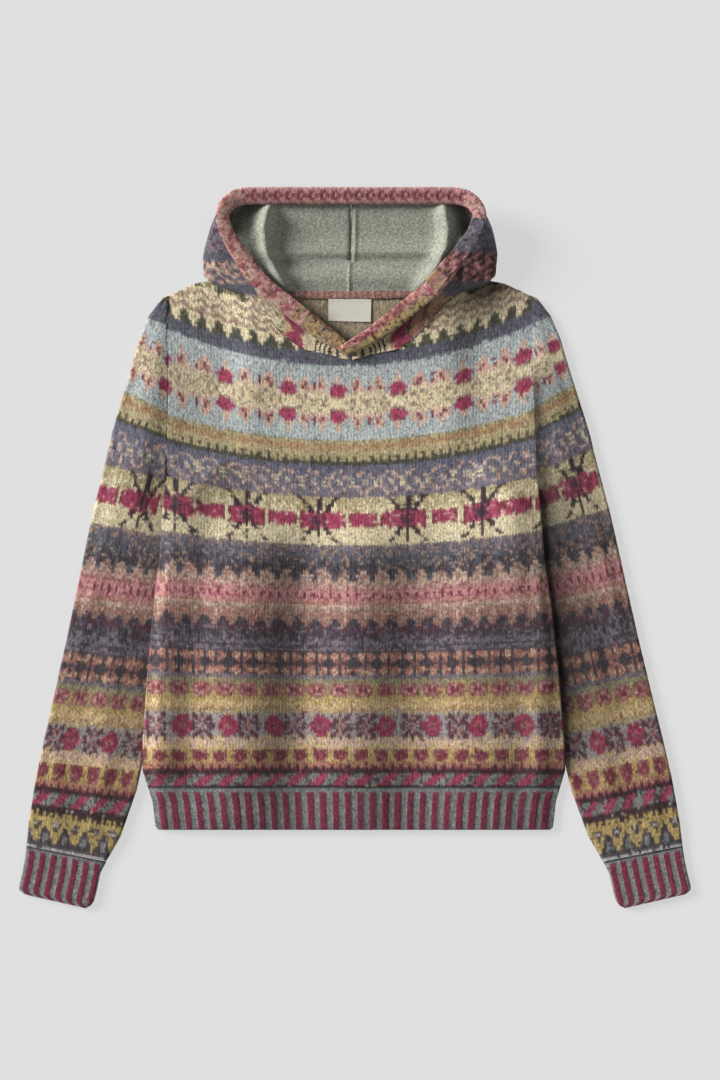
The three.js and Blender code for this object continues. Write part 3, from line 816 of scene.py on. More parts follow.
def panel_grid(neck, height_at, face_up=True):
    """Points of a panel's outer face, which faces lie inside its outline, and their rows and legs."""
    a_line = leg_line(PANEL_LEGS, STITCH / 2)
    rows = np.arange(-ROWS_BELOW, CHART_ROWS + 1)
    centre_y = FIRST_ROW + rows * ROW
    centre_y = centre_y + np.interp(centre_y, NUDGE["y"], NUDGE["shift"])
    sag = np.interp(centre_y, SAG["y"], SAG["rise"])
    tilt = CHEST_TILT * smooth((centre_y - 60) / 60)
    shift = chevron(len(rows), len(a_line)) * ROW
    y = centre_y[:, None] + sag[:, None] * (a_line[None, :] / SAG_AT) ** 2 + tilt[:, None] * a_line + shift
    a = np.broadcast_to(a_line, y.shape)
    low_reach, low_drop, past_low = rolled(-y, -FIRST_ROW, KNIT)
    y_reach, top_drop, past_top = rolled(-low_reach, top_edge(neck, a), KNIT)
    side = half_width(np.clip(y_reach, HEM_END, BODY_SIDE["y"][-1]))
    seam_edge = mix(KNIT, 0.8, smooth((y_reach - UNDERARM + 8) / 14))
    a_reach, side_drop, past_side = rolled(np.abs(a), side, seam_edge)
    keep = faces_left(past_low | past_top | past_side)
    drop = np.maximum(np.maximum(side_drop, top_drop), low_drop)
    a_at = np.sign(a) * a_reach
    z = height_at(a_at, y_reach)
    z = z - drop if face_up else z + drop
    points = points_of(a_at + lean_at(y_reach), y_reach, z)
    return points, keep, rows[:-1], np.arange(-PANEL_LEGS // 2, PANEL_LEGS // 2)


# %% Unevenness and colours of a panel
def wool_jitter(points, size=0.11):
    """Wool is never quite even: every point is a little off, mostly in height."""
    moved = points.copy()
    for axis, share in ((2, 1), (0, 0.6), (1, 0.6)):
        moved[..., axis] += random.normal(0, size * share, points.shape[:2])
    return moved


def panel_colours(rows, legs, shade=None):
    """A colour for each face of a panel's grid; shade gives the brightness painted on the wool at (a, y)."""
    stitches = np.arange(legs[0] // 2, legs[-1] // 2 + 1)
    letters = knit_chart(BANDS, stitches)
    colours = yarn_colours(letters)
    colours = colours[np.clip(rows, 0, len(colours) - 1)]
    if shade:
        colours *= shade(legs[None, :] * STITCH / 2, (HEM_SEAM + rows * ROW)[:, None])[..., None]
    return colours


# %% The front
DEEPEST = -1.5  # the front sinks no further into its valleys


def armhole_dip(distance, y):
    """Both cloths sink a little towards the seam that joins body and sleeve."""
    return 0.5 * hill(distance, 8) * smooth((y - 52) / 40)


def front_surface(a, y):
    from_side = half_width(y) - np.abs(a)
    return front_top(a, y) + np.maximum(front_swell(a, y), DEEPEST) - armhole_dip(from_side, y)


points, keep, rows, legs = panel_grid(FRONT_NECK, front_surface)
# The front's yarn colours carry painted shade in the valleys and below the hood's corner, and painted light
# and shade across the chest.
front = grid_object("front", wool_jitter(points), keep, panel_colours(rows, legs, painted_front_brightness))
declare(front, "body_front", PATTERNED)

# %% The back
BACK_FOLDS = [
    {"a": -120, "y": -90, "reach": 130, "width": 20, "rise": 1.6, "slant": 0.05},
    {"a": 20, "y": -60, "reach": 150, "width": 24, "rise": 1.5, "slant": -0.06},
    {"a": 150, "y": -100, "reach": 110, "width": 18, "rise": 1.8, "slant": 0.04},
    {"a": -60, "y": 60, "reach": 60, "width": 16, "rise": 1.2, "slant": 0.2},
]


def back_underside(a, y):
    return under_body(a, y) + fold_height(a, y, BACK_FOLDS)


points, keep, rows, legs = panel_grid(BACK_NECK, back_underside, face_up=False)
jittered = wool_jitter(points)
jittered[..., 2] = np.maximum(jittered[..., 2], TABLE_TOP)
back = grid_object("back", jittered, keep, panel_colours(rows, legs), up=False, bake=(0, 0, 1, 0.87))

# %% [markdown]
# Inside the neck the back shows its wrong side, where the carried yarns make it a dull khaki. A second
# thickness for the whole back would double its faces, so only this part has one: a small grid, joined to
# the back.


# %% Inside of the back at the neck
def joined(first, *others):
    bpy.ops.object.select_all(action="DESELECT")
    for piece in (first, *others):
        piece.select_set(True)
    bpy.context.view_layer.objects.active = first
    bpy.ops.object.join()
    return first


INSIDE = {"low": 182, "rows": 48, "stitches": 74}


def back_inside():
    rows, stitches = INSIDE["rows"], INSIDE["stitches"]
    a_line = leg_line(2 * stitches, STITCH / 2)[None, :]
    y = (INSIDE["low"] + np.arange(rows + 1) * ROW)[:, None] + chevron(rows + 1, 2 * stitches + 1) * ROW
    y = np.minimum(y, top_edge(BACK_NECK, a_line) - KNIT / 2)
    points = points_of(a_line + lean_at(y), y, under_body(a_line, y) + KNIT)
    letters = np.where(random.random((rows, stitches)) < 0.1, "f", "i")
    letters[random.random(letters.shape) < 0.18] = "K"
    keep = np.ones((rows, 2 * stitches), bool)
    return grid_object("back_inside", wool_jitter(points), keep, yarn_colours(letters), bake=(0, 0.88, 1, 1))


inside = back_inside()
back = joined(back, inside)
declare(back, "body_back", PATTERNED)

# %% [markdown]
# ## Ribs
#
# Corrugated rib: raspberry knit ribs stand up between grey purl furrows. The rib starts with a few plain
# grey rows where it meets the panel. Modelling each rib as a rod would leave gaps between them, so the rib
# is one sheet like the panels, with smaller faces, a wave across it, a rolled lower edge and rolled sides.

# %% Rib shape and colours
RIB_PITCH = 14.6
RIB_SHARE = 0.52
RIB_RISE = 0.8
RIB_LEG = 1.2  # one leg of the hem's rib
RIB_ROW = 1.9
HEM_CORNER = 5  # radius of the hem's corners


def from_rib(s):
    """Distance from the middle of a rib, as a share of the pitch."""
    return np.abs(s / RIB_PITCH - np.floor(s / RIB_PITCH) - 0.5)


def rib_wave(s):
    """1 on a rib, 0 in a furrow."""
    return smooth((RIB_SHARE / 2 - from_rib(s)) / 0.12 + 0.5)


def rib_letters(s, depth, plain):
    """Raspberry ribs, from below the plain rows on, and a dark line where the rib begins."""
    on_rib = (from_rib(s) < RIB_SHARE / 2) & (depth > plain)
    return np.where(on_rib, "B", np.where(depth > 1.2, "e", "v"))


# %% Hem ribs
def hem_rib(name, node, height_at, face_up):
    s_line = leg_line(404, RIB_LEG)
    first = HEM_SEAM + 0.5
    depth = np.arange(-2, 29) * RIB_ROW
    y = first - depth[:, None] + chevron(len(depth), len(s_line)) * RIB_LEG
    y_up, up_drop, past_up = rolled(y, first, KNIT)
    y_down, down_drop, past_down = rolled(-y_up, -HEM_END, KNIT)
    y_at = -y_down
    spread = half_width(y_at) / half_width(first)
    from_end = np.clip((y_at - HEM_END) / HEM_CORNER, 0, 1)
    side = half_width(y_at) - HEM_CORNER * (1 - np.sqrt(1 - (1 - from_end) ** 2))
    a_reach, side_drop, past_side = rolled(np.abs(s_line)[None, :] * spread, side, KNIT)
    a_at = np.sign(s_line)[None, :] * a_reach
    keep = faces_left(past_up | past_down | past_side)
    lift = RIB_RISE * (rib_wave(s_line)[None, :] * smooth((depth - 5)[:, None] / 4) - 0.5)
    drop = np.maximum(np.maximum(up_drop, down_drop), side_drop)
    z = height_at(a_at, y_at) + np.where(drop > 0.4 * KNIT, 0, lift) * (1 if face_up else -1)
    z = z - drop if face_up else np.maximum(z + drop, TABLE_TOP)
    points = points_of(a_at + lean_at(y_at), y_at, z)
    middle = (s_line[:-1] + s_line[1:]) / 2
    colours = yarn_colours(rib_letters(middle[None, :], depth[:-1, None] + 0.9, 6.5), 1)
    if face_up:
        # The front rib takes the painted shade of the front's valleys, a little stronger.
        colours *= painted_front_brightness(a_at[:-1, :-1], y_at[:-1, :1])[..., None] ** 1.3
    piece = grid_object(name, wool_jitter(points, 0.1), keep, colours, up=not face_up)
    return declare(piece, node, RIBBED)


def front_rib_surface(a, y):
    return 2 * KNIT + body_space(a, y) + np.maximum(front_swell(a, y), DEEPEST)


def back_rib_underside(a, y):
    return np.full(np.broadcast(a, y).shape, 0.6)


hem_rib("front_rib", "hem_rib_front", front_rib_surface, True)
hem_rib("back_rib", "hem_rib_back", back_rib_underside, False)

# %% [markdown]
# ## Sleeves and cuffs
#
# A sleeve is knitted as a tube and lies flattened. It could be a tube squashed by a modifier, but then the
# rows would slant with its taper. Here its stitches run from the seam at the inner fold, over the top,
# round the outer fold and back underneath, so each row is one line all round, as on the needles. The table
# gives the two folds, from the cuff up, and a second one the place of each band.

# %% Sleeve tables
SLEEVE = {
    "in_a": [285.5, 269, 250, 239, 225, 211, 201, 204, 213, 209, 206, 196, 196, 196, 196, 195, 192],
    "in_y": [-360, -332, -279, -232, -187, -120, -53, -8, 30, 62, 84, 108, 140, 176, 214, 254, 297],
    "out_a": [377, 374, 366, 356, 345, 329, 314, 304, 296, 287, 281, 274, 263, 252, 242, 231, 216],
    "out_y": [-342, -315, -267, -221, -175, -106, -37, 10, 46, 80, 104, 134, 170, 206, 241, 267, 286.5],
}
CUFF = {
    "in_a": [285.5, 292.5, 296.5, 300, 304, 310],
    "in_y": [-360.5, -374, -393, -406, -411, -414],
    "out_a": [377.1, 379, 382.5, 386, 386, 380],
    "out_y": [-342.3, -357, -374, -388, -393, -398],
}
SLEEVE_LEGS = 180
SLEEVE_ROWS = 234  # the sleeve is knitted from the body's chart up to this row
SLEEVE_SEAM_Y = -350.7  # where the sleeve begins, at its cuff
SLEEVE_SPACE = SEAM + LOFT * 0.6  # between its top and its underside
FREE = 99  # a height above everything
# Where rows of the body's chart come on the sleeve, as heights of its middle line.
SLEEVE_PLAN = {
    "row": [0, 7, 12, 19, 24, 38, 44, 54, 68, 80, 90, 99, 108, 121, 145, 161, 167, 176, 208, 218, 224, 236],
    "y": [-303, -285, -274, -251, -238, -204, -187, -161, -123, -85, -67, -37, -17, 21]
    + [86, 133, 146, 168, 240, 283, 292, 304],
}
# On the wearer's left the sleeve is turned a little, so its rows are higher and climb outwards.
TURNED_SLEEVE = {
    "y": [-336, -300, -230, -160, -95, -50, 45, 80, 150, 215],
    "rise": [0, 2, 3, 5, 9, 12, 12, 13, 6, 2],
    "climb": 10,
}
# Shade painted beside the body, far deeper on the wearer's left (1) than on the right (-1).
SLEEVE_SHADE = {1: {"reach": 40, "depth": 0.79}, -1: {"reach": 14, "depth": 0.35}}
# Painted shade along a sleeve, from the cuff up: the share of the yarn's brightness that is kept.
SLEEVE_PAINTED_LEVEL = {
    1: {"y": [-320, -230, -60, 120, 230], "level": [0.9, 0.84, 0.76, 0.78, 0.95]},
    -1: {"y": [-320, -230, -60, 120, 230], "level": [0.9, 0.84, 0.84, 0.92, 1]},
}
SLEEVE_FOLDS = [
    {"a": -34, "y": 130, "reach": 150, "width": 26, "rise": 3.0, "slant": 0.05},
    {"a": -62, "y": -150, "reach": 120, "width": 16, "rise": 3.6, "slant": 0.08},
    {"a": -22, "y": -40, "reach": 110, "width": 15, "rise": 3.0, "slant": -0.06},
    {"a": -40, "y": 120, "reach": 90, "width": 14, "rise": 2.6, "slant": 0.12},
    {"a": -78, "y": -265, "reach": 60, "width": 12, "rise": 2.6, "slant": -0.1},
    {"a": -28, "y": -290, "reach": 55, "width": 13, "rise": 2.4, "slant": 0.12},
]


# %% A flattened tube
def flat_tube(table, middle_y, s, space, lift_at):
    """Points at distance s from the outer fold: negative on top, positive underneath."""
    level = (np.array(table["in_y"]) + np.array(table["out_y"])) / 2
    order = np.argsort(level)
    column = {key: np.interp(middle_y, level[order], np.array(table[key])[order]) for key in table}
    width = np.hypot(column["out_a"] - column["in_a"], column["out_y"] - column["in_y"])
    radius = KNIT + space / 2
    turn = math.pi * radius / 2
    straight = width - 2 * radius
    size = np.abs(s)
    on_flat = np.clip(size - turn, 0, straight)
    outer_angle = np.clip(size / radius, 0, math.pi / 2)
    inner_angle = np.clip((size - turn - straight) / radius, 0, math.pi / 2)
    inward = radius - radius * np.cos(outer_angle) + on_flat + radius * np.sin(inner_angle)
    side = np.where(s < 0, 1.0, -1.0)
    height = radius + side * radius * np.sin(outer_angle) * np.cos(inner_angle)
    share = 1 - inward / width
    a = mix(column["in_a"], column["out_a"], share)
    y = mix(column["in_y"], column["out_y"], share)
    past = size > 2 * turn + straight
    return a, y, lift_at(a, y) + height, past, width


# %% What a sleeve lies on
def sleeve_lift(a, y):
    """Near the armhole the sleeve lies as high as the body; below it, on the table."""
    return np.where(y > UNDERARM - 10, under_body(a, y), 0)


# %% Rows of a sleeve
def sleeve_levels(side, s_line):
    """Height of the sleeve's middle line at every point of the grid, from cuff to shoulder."""
    rows_cuff = sum(band["rows"] for band in CUFF_BANDS)
    below = np.linspace(SLEEVE_SEAM_Y, SLEEVE_PLAN["y"][0], rows_cuff + 1)[:-1]
    above = np.interp(np.arange(SLEEVE_ROWS + 1), SLEEVE_PLAN["row"], SLEEVE_PLAN["y"])
    level = np.concatenate([below, above])
    middle = level[:, None] + chevron(len(level), len(s_line)) * ROW
    if side > 0:
        climb = TURNED_SLEEVE["climb"] * smooth((level + 340) / 60) * smooth((200 - level) / 60)
        raised = np.interp(level, TURNED_SLEEVE["y"], TURNED_SLEEVE["rise"])
        middle = middle + raised[:, None] + climb[:, None] * (0.5 - np.clip(np.abs(s_line) / 95, 0, 1))
    return middle


# %% Shade on a sleeve
def sleeve_shade(side, a, y, on_top):
    """Painted brightness: shade beside the body, times the level of this stretch of the sleeve."""
    beside_body = smooth((y - HEM_SEAM) / 40) * np.where(on_top, 1, 0)
    table = SLEEVE_SHADE[side]
    reach = mix(12, table["reach"], smooth((120 - y) / 80))
    depth = table["depth"] * (1 if side > 0 else smooth((130 - y) / 60))
    painted_shade_beside = depth * hill(a - half_width(y), reach) * beside_body
    painted_shade_beside = painted_shade_beside * (1 - smooth((y - 180) / 40)) * mix(0.65, 1, smooth((y + 240) / 60))
    return (1 - painted_shade_beside) * np.interp(y, SLEEVE_PAINTED_LEVEL[side]["y"], SLEEVE_PAINTED_LEVEL[side]["level"])


# %% The two sleeves
def sleeve(name, node, side):
    s_line = leg_line(SLEEVE_LEGS, SLEEVE_STITCH / 2)
    middle = sleeve_levels(side, s_line)
    s = np.broadcast_to(s_line, middle.shape)
    a, y, z, past, width = flat_tube(SLEEVE, middle, s, SLEEVE_SPACE, sleeve_lift)
    on_top = s < 0
    # The head of the tube closes at the shoulder, top and underside meeting half way up.
    half_up = sleeve_lift(a, y) + KNIT + SLEEVE_SPACE / 2
    z = mix(z, half_up, 0.94 * smooth((middle - 292) / 10))
    z = z + smooth((-s - 6) / 16) * smooth((width + s - 8) / 20) * fold_height(s, middle, SLEEVE_FOLDS)
    # Its inner edge lies under the body's side below the underarm. Elsewhere nothing holds it down.
    tucked = smooth((90 - y) / 8) * smooth((half_width(y) + 10 - a) / 14)
    ceiling = mix(FREE, under_body(a, y) - SEAM, tucked)
    z = np.where(on_top, np.minimum(z, ceiling), z)
    # Above it, the sleeve ends at the armhole's seam.
    armhole = half_width(y) - 2.2
    cushion = 0.8 * smooth((y - 100) / 30) * hill(a - armhole, 14)
    z = np.where(on_top, z - armhole_dip(a - armhole, y) + cushion, z)
    reach, drop, beyond = rolled(-a, -armhole, 0.8)
    upper = y > UNDERARM - 4
    a = np.where(upper, -reach, a)
    z = np.where(upper, z - np.where(on_top, drop, 0), z)
    keep = faces_left(past | (beyond & upper))
    points = points_of(side * a + lean_at(y), y, np.maximum(z, TABLE_TOP))
    stitches = np.arange(-SLEEVE_LEGS // 4, SLEEVE_LEGS // 4)
    letters = np.vstack([knit_chart(CUFF_BANDS, stitches), knit_chart(BANDS, stitches)])
    if side < 0:
        letters = letters[:, ::-1]
    colours = yarn_colours(letters)[: len(middle) - 1]
    # Painted shade: beside the body and along the sleeve, the yarn's colour is darkened.
    colours = colours * sleeve_shade(side, a, y, on_top)[:-1, :-1, None]
    piece = grid_object(name, wool_jitter(points, 0.14), keep, colours, up=side < 0)
    return declare(piece, node, PATTERNED)


sleeve("sleeve_left_knit", "sleeve_left", 1)
sleeve("sleeve_right_knit", "sleeve_right", -1)


# %% Cuffs
CUFF_LEG = 1.15
CUFF_PITCH = 12.6


def flat_on_table(a, y):
    return 0 * a


def cuff_place(s):
    """A place round the cuff, counted as on the hem's rib, whose ribs are wider."""
    return s * RIB_PITCH / CUFF_PITCH + 3.5


def cuff(name, node, side):
    s_line = leg_line(184, CUFF_LEG)
    level = (np.array(CUFF["in_y"]) + np.array(CUFF["out_y"])) / 2
    depth = np.arange(0, 31) * 1.95
    middle = level[0] - depth[:, None] + chevron(len(depth), len(s_line), 1) * RIB_LEG
    past_end = middle < level[-1]
    s = np.broadcast_to(s_line, middle.shape)
    a, y, z, past, _ = flat_tube(CUFF, np.maximum(middle, level[-1]), s, 0.9, flat_on_table)
    wave = rib_wave(cuff_place(s_line))[None, :] * smooth((depth - 4)[:, None] / 4)
    lift = np.where(s < 0, 1, -1) * RIB_RISE * 0.8 * (wave - 0.5) * (np.abs(s) > 4)
    keep = ~(past[:-1, :-1] & past[1:, 1:]) & ~(past_end[:-1, :-1] & past_end[1:, 1:])
    points = points_of(side * a + lean_at(y), y, np.maximum(z + lift, TABLE_TOP))
    centre = (s_line[:-1] + s_line[1:]) / 2
    letters = rib_letters(cuff_place(centre[None, :]), depth[:-1, None] + 0.9, 4.5)
    piece = grid_object(name, wool_jitter(points, 0.08), keep, yarn_colours(letters, 1), up=side > 0)
    return declare(piece, node, RIBBED)


cuff("cuff_left_knit", "cuff_left", 1)
cuff("cuff_right_knit", "cuff_right", -1)

# %% [markdown]
# ## The hood's edge band
#
# A double band runs round the hood's opening, from the V at the front over the crown and back. A bevelled
# curve would do for its form, but its stitches have to run along it and its width changes. So it is a grid
# too, swept along a smooth curve through a few places, each with its half width and the heights of its two
# edges.

# %% Band line
BAND_LINE = {
    "a": [6, 20, 40, 73, 98, 124, 140, 147, 141, 126, 98, 50, 0],
    "y": [230, 240, 254, 280, 301, 333, 357, 379, 393, 401.5, 403, 403, 403],
    "half": [7, 9, 11, 11, 10.5, 9.5, 8.5, 8, 9, 10, 10, 10, 10],
    "outer": [23, 23, 24.5, 28, 32, 37, 41, 43, 44, 44, 43.5, 43, 43],
    "inner": [23.5, 24, 26, 29, 32, 35.5, 38.5, 40, 38, 36, 35, 35, 35],
}
CROSSING = {"reach": 14, "drop": 5, "height": 4.3}


def catmull_rom(values, t):
    """Value of a smooth curve through evenly numbered places; t runs from 0 to 1."""
    values = np.asarray(values, float)
    padded = np.concatenate([[2 * values[0] - values[1]], values, [2 * values[-1] - values[-2]]])
    at = np.clip(t, 0, 1) * (len(values) - 1)
    i = np.minimum(at.astype(int), len(values) - 2)
    u = at - i
    p0, p1, p2, p3 = (padded[i + k] for k in range(4))
    return 0.5 * (
        2 * p1 + (p2 - p0) * u + (2 * p0 - 5 * p1 + 4 * p2 - p3) * u**2 + (3 * p1 - p0 - 3 * p2 + p3) * u**3
    )


def band_frame(along):
    """The tables' values at each place, and the direction that points outwards from the band there."""
    along = np.asarray(along, float)
    here = {key: catmull_rom(BAND_LINE[key], along) for key in BAND_LINE}
    near = 1e-3
    before, after = along - near, along + near
    ahead_a = catmull_rom(BAND_LINE["a"], after) - catmull_rom(BAND_LINE["a"], before)
    ahead_y = catmull_rom(BAND_LINE["y"], after) - catmull_rom(BAND_LINE["y"], before)
    size = np.hypot(ahead_a, ahead_y)
    return here, ahead_y / size, -ahead_a / size


def band_point(along, across):
    """across is -1 at the outer edge and 1 at the inner edge."""
    here, out_a, out_y = band_frame(along)
    a = here["a"] - out_a * here["half"] * across
    y = here["y"] - out_y * here["half"] * across
    return a, y, mix(here["outer"], here["inner"], (across + 1) / 2)


# %% Evenly spaced places along the band
dense = np.linspace(0, 1, 800)
dense_a, dense_y, _ = band_point(dense, 0.0)
run = np.concatenate([[0], np.cumsum(np.hypot(np.diff(dense_a), np.diff(dense_y)))])
BAND_RUN = run[-1]
print(f"half the band is {BAND_RUN:.0f} mm long")

# %% Yarns of the band
CROWN_OVALS = ["mmwm", "mwmm", "mmfm", "mRRm", "fRmR", "fRmR", "mRRm", "mmfm", "wmmf", "mmwm"]
BAND_ROWS = len(CROWN_OVALS)
SPECKLE = list("mmmmmpaaffrRwwdd")
TIP = list("KKggglRRfkt")
TIP_INNER = list("mmaaRRRf")
TIP_OUTER = list("gggKKtk")
CROWN_FROM = 0.66  # from here on, as a share of the way from V to crown, the band has ovals
GOLD_UNTIL = 0.29  # up to here its outer edge is gold on the wearer's left
TIP_UNTIL = 0.14  # up to about here the tips are speckled with gold and khaki


def band_letters(place):
    """place: signed distance from the crown along the band, in stitches; plus is the wearer's left."""
    picks = []
    for at in place:
        share = 1 - abs(at) * STITCH / BAND_RUN
        if share > CROWN_FROM:
            column = [chart_row[int(at) % 4] for chart_row in CROWN_OVALS]
        elif at > 0 and share < GOLD_UNTIL:
            outer = random.choice(TIP_OUTER, BAND_ROWS)
            inner = random.choice(TIP_INNER, BAND_ROWS)
            column = np.where(np.arange(BAND_ROWS) < BAND_ROWS // 2, outer, inner)
        elif share < TIP_UNTIL + 0.06 * random.random():
            column = random.choice(TIP, BAND_ROWS)
        else:
            column = random.choice(SPECKLE, BAND_ROWS)
        picks.append(list(column))
    return np.array(picks).T


# %% The band
def hood_band():
    legs = 2 * int(BAND_RUN / (STITCH / 2))
    place = np.linspace(-BAND_RUN, BAND_RUN, legs + 1)
    along = np.interp(BAND_RUN - np.abs(place), run, dense)
    side = np.where(place < 0, -1.0, 1.0)
    here, out_a, out_y = band_frame(along)
    half_arc = here["half"] - BAND / 2 + math.pi * BAND / 2 * 0.8
    s = np.linspace(-1, 1, BAND_ROWS + 1)[:, None] * half_arc[None, :]
    s = s + chevron(BAND_ROWS + 1, len(place), 1) * 2.4
    reach, drop, _ = rolled(np.abs(s), here["half"][None, :], BAND)
    across = np.sign(s) * reach / here["half"]
    a = here["a"] - out_a * here["half"] * across
    y = here["y"] - out_y * here["half"] * across
    z = mix(here["outer"], here["inner"], (across + 1) / 2) + BAND / 2 - drop
    z = z + 0.9 * (1 - np.clip(across, -1, 1) ** 2)
    # At the V, the wearer's left end lies over the right one.
    crossing = np.where(side > 0, 1 - smooth(along / 0.12), 0)
    x = side * a + lean_at(y) - crossing * CROSSING["reach"]
    points = points_of(x, y - crossing * CROSSING["drop"], z + crossing * CROSSING["height"])
    letters = band_letters(np.arange(-legs // 4, legs // 4 + 1)).repeat(2, axis=1)[:, :legs]
    keep = np.ones((BAND_ROWS, legs), bool)
    piece = grid_object("band", wool_jitter(points, 0.12), keep, yarn_colours(letters, 1), up=False)
    return declare(piece, "hood_band", EDGE)


hood_band()

# %% [markdown]
# ## The hood's outer cloth
#
# The knitted outside of the hood shows where it turns over at the band, and falls from there to the body
# or to the table. Each row of knitting is one curve: from under the band, round the outside and down to
# its foot. The plan gives a few of these, and the rows between them follow smoothly, which keeps the cloth
# clear of the body below it. On the wearer's left the cloth is turned over the band for a stretch.

# %% Hood tables
# Each row is given by its share of the way along the band, its outermost point and its foot.
HOOD_TITLES = ("along", "out_a", "out_y", "out_z", "foot_a", "foot_y")
HOOD_PLAN = [
    (0.004, 3, 221, 18.8, 3, 216),
    (0.06, 24, 228, 19.4, 24, 222),
    (0.2, 51, 240, 20, 54, 228),
    (0.26, 71, 253, 21, 76, 243),
    (0.31, 88, 270, 23, 93, 262),
    (0.36, 104, 285, 25, 109, 277),
    (0.4, 122, 296, 25, 120, 290),
    (0.44, 142, 299, 22, 130, 300),
    (0.48, 160, 305, 21, 138, 308),
    (0.52, 169, 314, 19, 144, 318),
    (0.57, 169, 328, 17, 130, 326),
    (0.63, 161, 346, 18, 110, 336),
    (0.69, 148, 366, 20, 105.5, 344),
    (0.73, 140, 384, 21, 102, 355),
    (0.77, 130, 397, 22, 94, 366),
    (0.81, 116, 403, 22, 84, 373),
    (0.87, 92, 406.5, 22, 66, 377.5),
    (0.94, 45, 406.5, 22, 34, 377.5),
    (0.998, 0.5, 406.5, 22, 0.5, 377.5),
]
HOOD = dict(zip(HOOD_TITLES, np.array(HOOD_PLAN).T))
# Past the shoulder the feet come down from the body to the table.
FOOT_Z = {"along": [0.5, 0.52, 0.57, 0.63, 1.0], "z": [19.0, 8.6, 5.0, 1.4, 1.4]}
TURNED_OVER = {"from": 0.28, "to": 0.62, "ramp": 0.05, "across": 1.3, "above": 0.9}
HOOD_ROWS = 196
LAP_PLACES = 40  # places across the strip below or over the band
SIDE_PLACES = 200  # places from the band to the foot


def hood_rows(side, along):
    """The hood's rows at the band, their outermost points and their feet, as arrays of points."""
    out_a, out_y, out_z, foot_a, foot_y = (
        np.interp(along, HOOD["along"], HOOD[title]) for title in HOOD_TITLES[1:]
    )
    on_body = front_top(foot_a, foot_y) + 3 * SEAM + KNIT / 2
    off_body = np.interp(along, FOOT_Z["along"], FOOT_Z["z"])
    foot_z = mix(on_body, off_body, smooth((along - 0.48) / 0.05))
    over = np.zeros_like(along)
    if side > 0:
        start = smooth((along - TURNED_OVER["from"]) / TURNED_OVER["ramp"])
        over = start * smooth((TURNED_OVER["to"] - along) / TURNED_OVER["ramp"])
    under = -(BAND / 2 + SEAM + KNIT / 2)
    lift = mix(under, BAND / 2 + TURNED_OVER["above"] + SEAM + KNIT / 2, over)
    shares = np.linspace(0, 1, LAP_PLACES)[:, None]
    across = mix(mix(-0.7, TURNED_OVER["across"], over), -0.7, shares)
    lap_a, lap_y, lap_z = band_point(np.broadcast_to(along, across.shape), across)
    turned_edge = KNIT * hill(shares, 0.06) * over
    lap = points_of(lap_a, lap_y, lap_z + lift - turned_edge)
    return lap, points_of(out_a, out_y, out_z), points_of(foot_a, foot_y, foot_z)


# %% Hood charts
BARS = ["CCCCCCC", "pCCCCpC", "CCCCCCC", "kkkkkkC", "kkkkkkk"]
FLOWER_BIT = ["..rrr..", "..rrr..", ".rrrrr.", ".rrrrrr", "rrrRrrr", "rrRRRrr", "rrRRRrr"]
CROSSES = ["d..da..d", "dd.pd.dd", ".ad..da.", "..dppd..", ".ad..da.", "dd.pd.dd", "d..ad..d"]
SIDE_BARS = ["kkff", "mkkf", "ffkk", "fkkm"]
COLLAR_RIGHT = [
    {"rows": 5, "ground": "GC"},
    {"rows": 26, "ground": "CC", "chart": BARS * 5},
    {"rows": 7, "ground": "Cd"},
    {"rows": 14, "ground": "CG", "chart": both_ways(FLOWER_BIT)},
    {"rows": 6, "ground": "lC", "flecks": "o"},
    {"rows": 34, "ground": "cd", "chart": CHEVRONS * 8},
    {"rows": 130, "ground": "dg", "flecks": "z"},
]
COLLAR_LEFT = [
    {"rows": 5, "ground": "CG"},
    {"rows": 26, "ground": "CG", "chart": BARS * 5},
    {"rows": 4, "ground": "Ct"},
    {"rows": 14, "ground": "Gq", "chart": both_ways(FLOWER_BIT)},
    {"rows": 22, "ground": "zf", "chart": ["ttffztf", "zttfzzt"] * 11},
    {"rows": 20, "ground": "zf", "flecks": "o"},
    {"rows": 130, "ground": "fa", "flecks": "z"},
]
# The sides have level bands instead, up to the crown, that start here.
SIDE_FROM = {"y": 290, "along": 0.36}
SIDE_RIGHT = [
    {"rows": 6, "ground": "nn"},
    {"rows": 2, "ground": "pn"},
    {"rows": 7, "ground": "nn", "chart": CROSSES},
    {"rows": 2, "ground": "pn"},
    {"rows": 4, "ground": "nn"},
    {"rows": 20, "ground": "hs", "flecks": "q"},
    {"rows": 14, "ground": "sh", "flecks": "f"},
]
SIDE_LEFT = [
    {"rows": 7, "ground": "nn"},
    {"rows": 14, "ground": "mm", "chart": SIDE_BARS * 4},
    {"rows": 20, "ground": "nh", "flecks": "v"},
    {"rows": 14, "ground": "sh", "flecks": "f"},
]


# %% Form of the hood
def hood_grid(side, along):
    """Points of the hood's outer face, one line of them for each row, and which lie past its foot."""
    lap, out, foot = hood_rows(side, along)
    rim = lap[-1]
    handle = 2 * out - (rim + foot) / 2
    t = np.linspace(0, 1, SIDE_PLACES)[1:, None, None]
    bent = (1 - t) ** 2 * rim + 2 * t * (1 - t) * handle + t**2 * foot
    curve = np.concatenate([lap, bent])
    steps = np.linalg.norm(np.diff(curve, axis=0), axis=2)
    length = np.concatenate([np.zeros((1, len(along))), np.cumsum(steps, 0)])
    legs = int(length[-1].max() / (STITCH / 2)) + 1
    s = np.arange(legs + 1) * STITCH / 2
    grid = np.zeros((len(along), legs + 1, 3))
    for row in range(len(along)):
        for axis in range(3):
            grid[row, :, axis] = np.interp(s, length[:, row], curve[:, row, axis])
    past = s[None, :] > length[-1][:, None]
    grid = grid + np.gradient(grid, axis=0) * chevron(len(along), legs + 1)[..., None]
    normal = np.cross(np.gradient(grid, axis=0), np.gradient(grid, axis=1))
    normal /= np.maximum(np.linalg.norm(normal, axis=2, keepdims=True), 1e-6)
    grid = grid + normal * KNIT / 2
    grid[..., 2] = np.maximum(grid[..., 2], TABLE_TOP)
    return grid, past


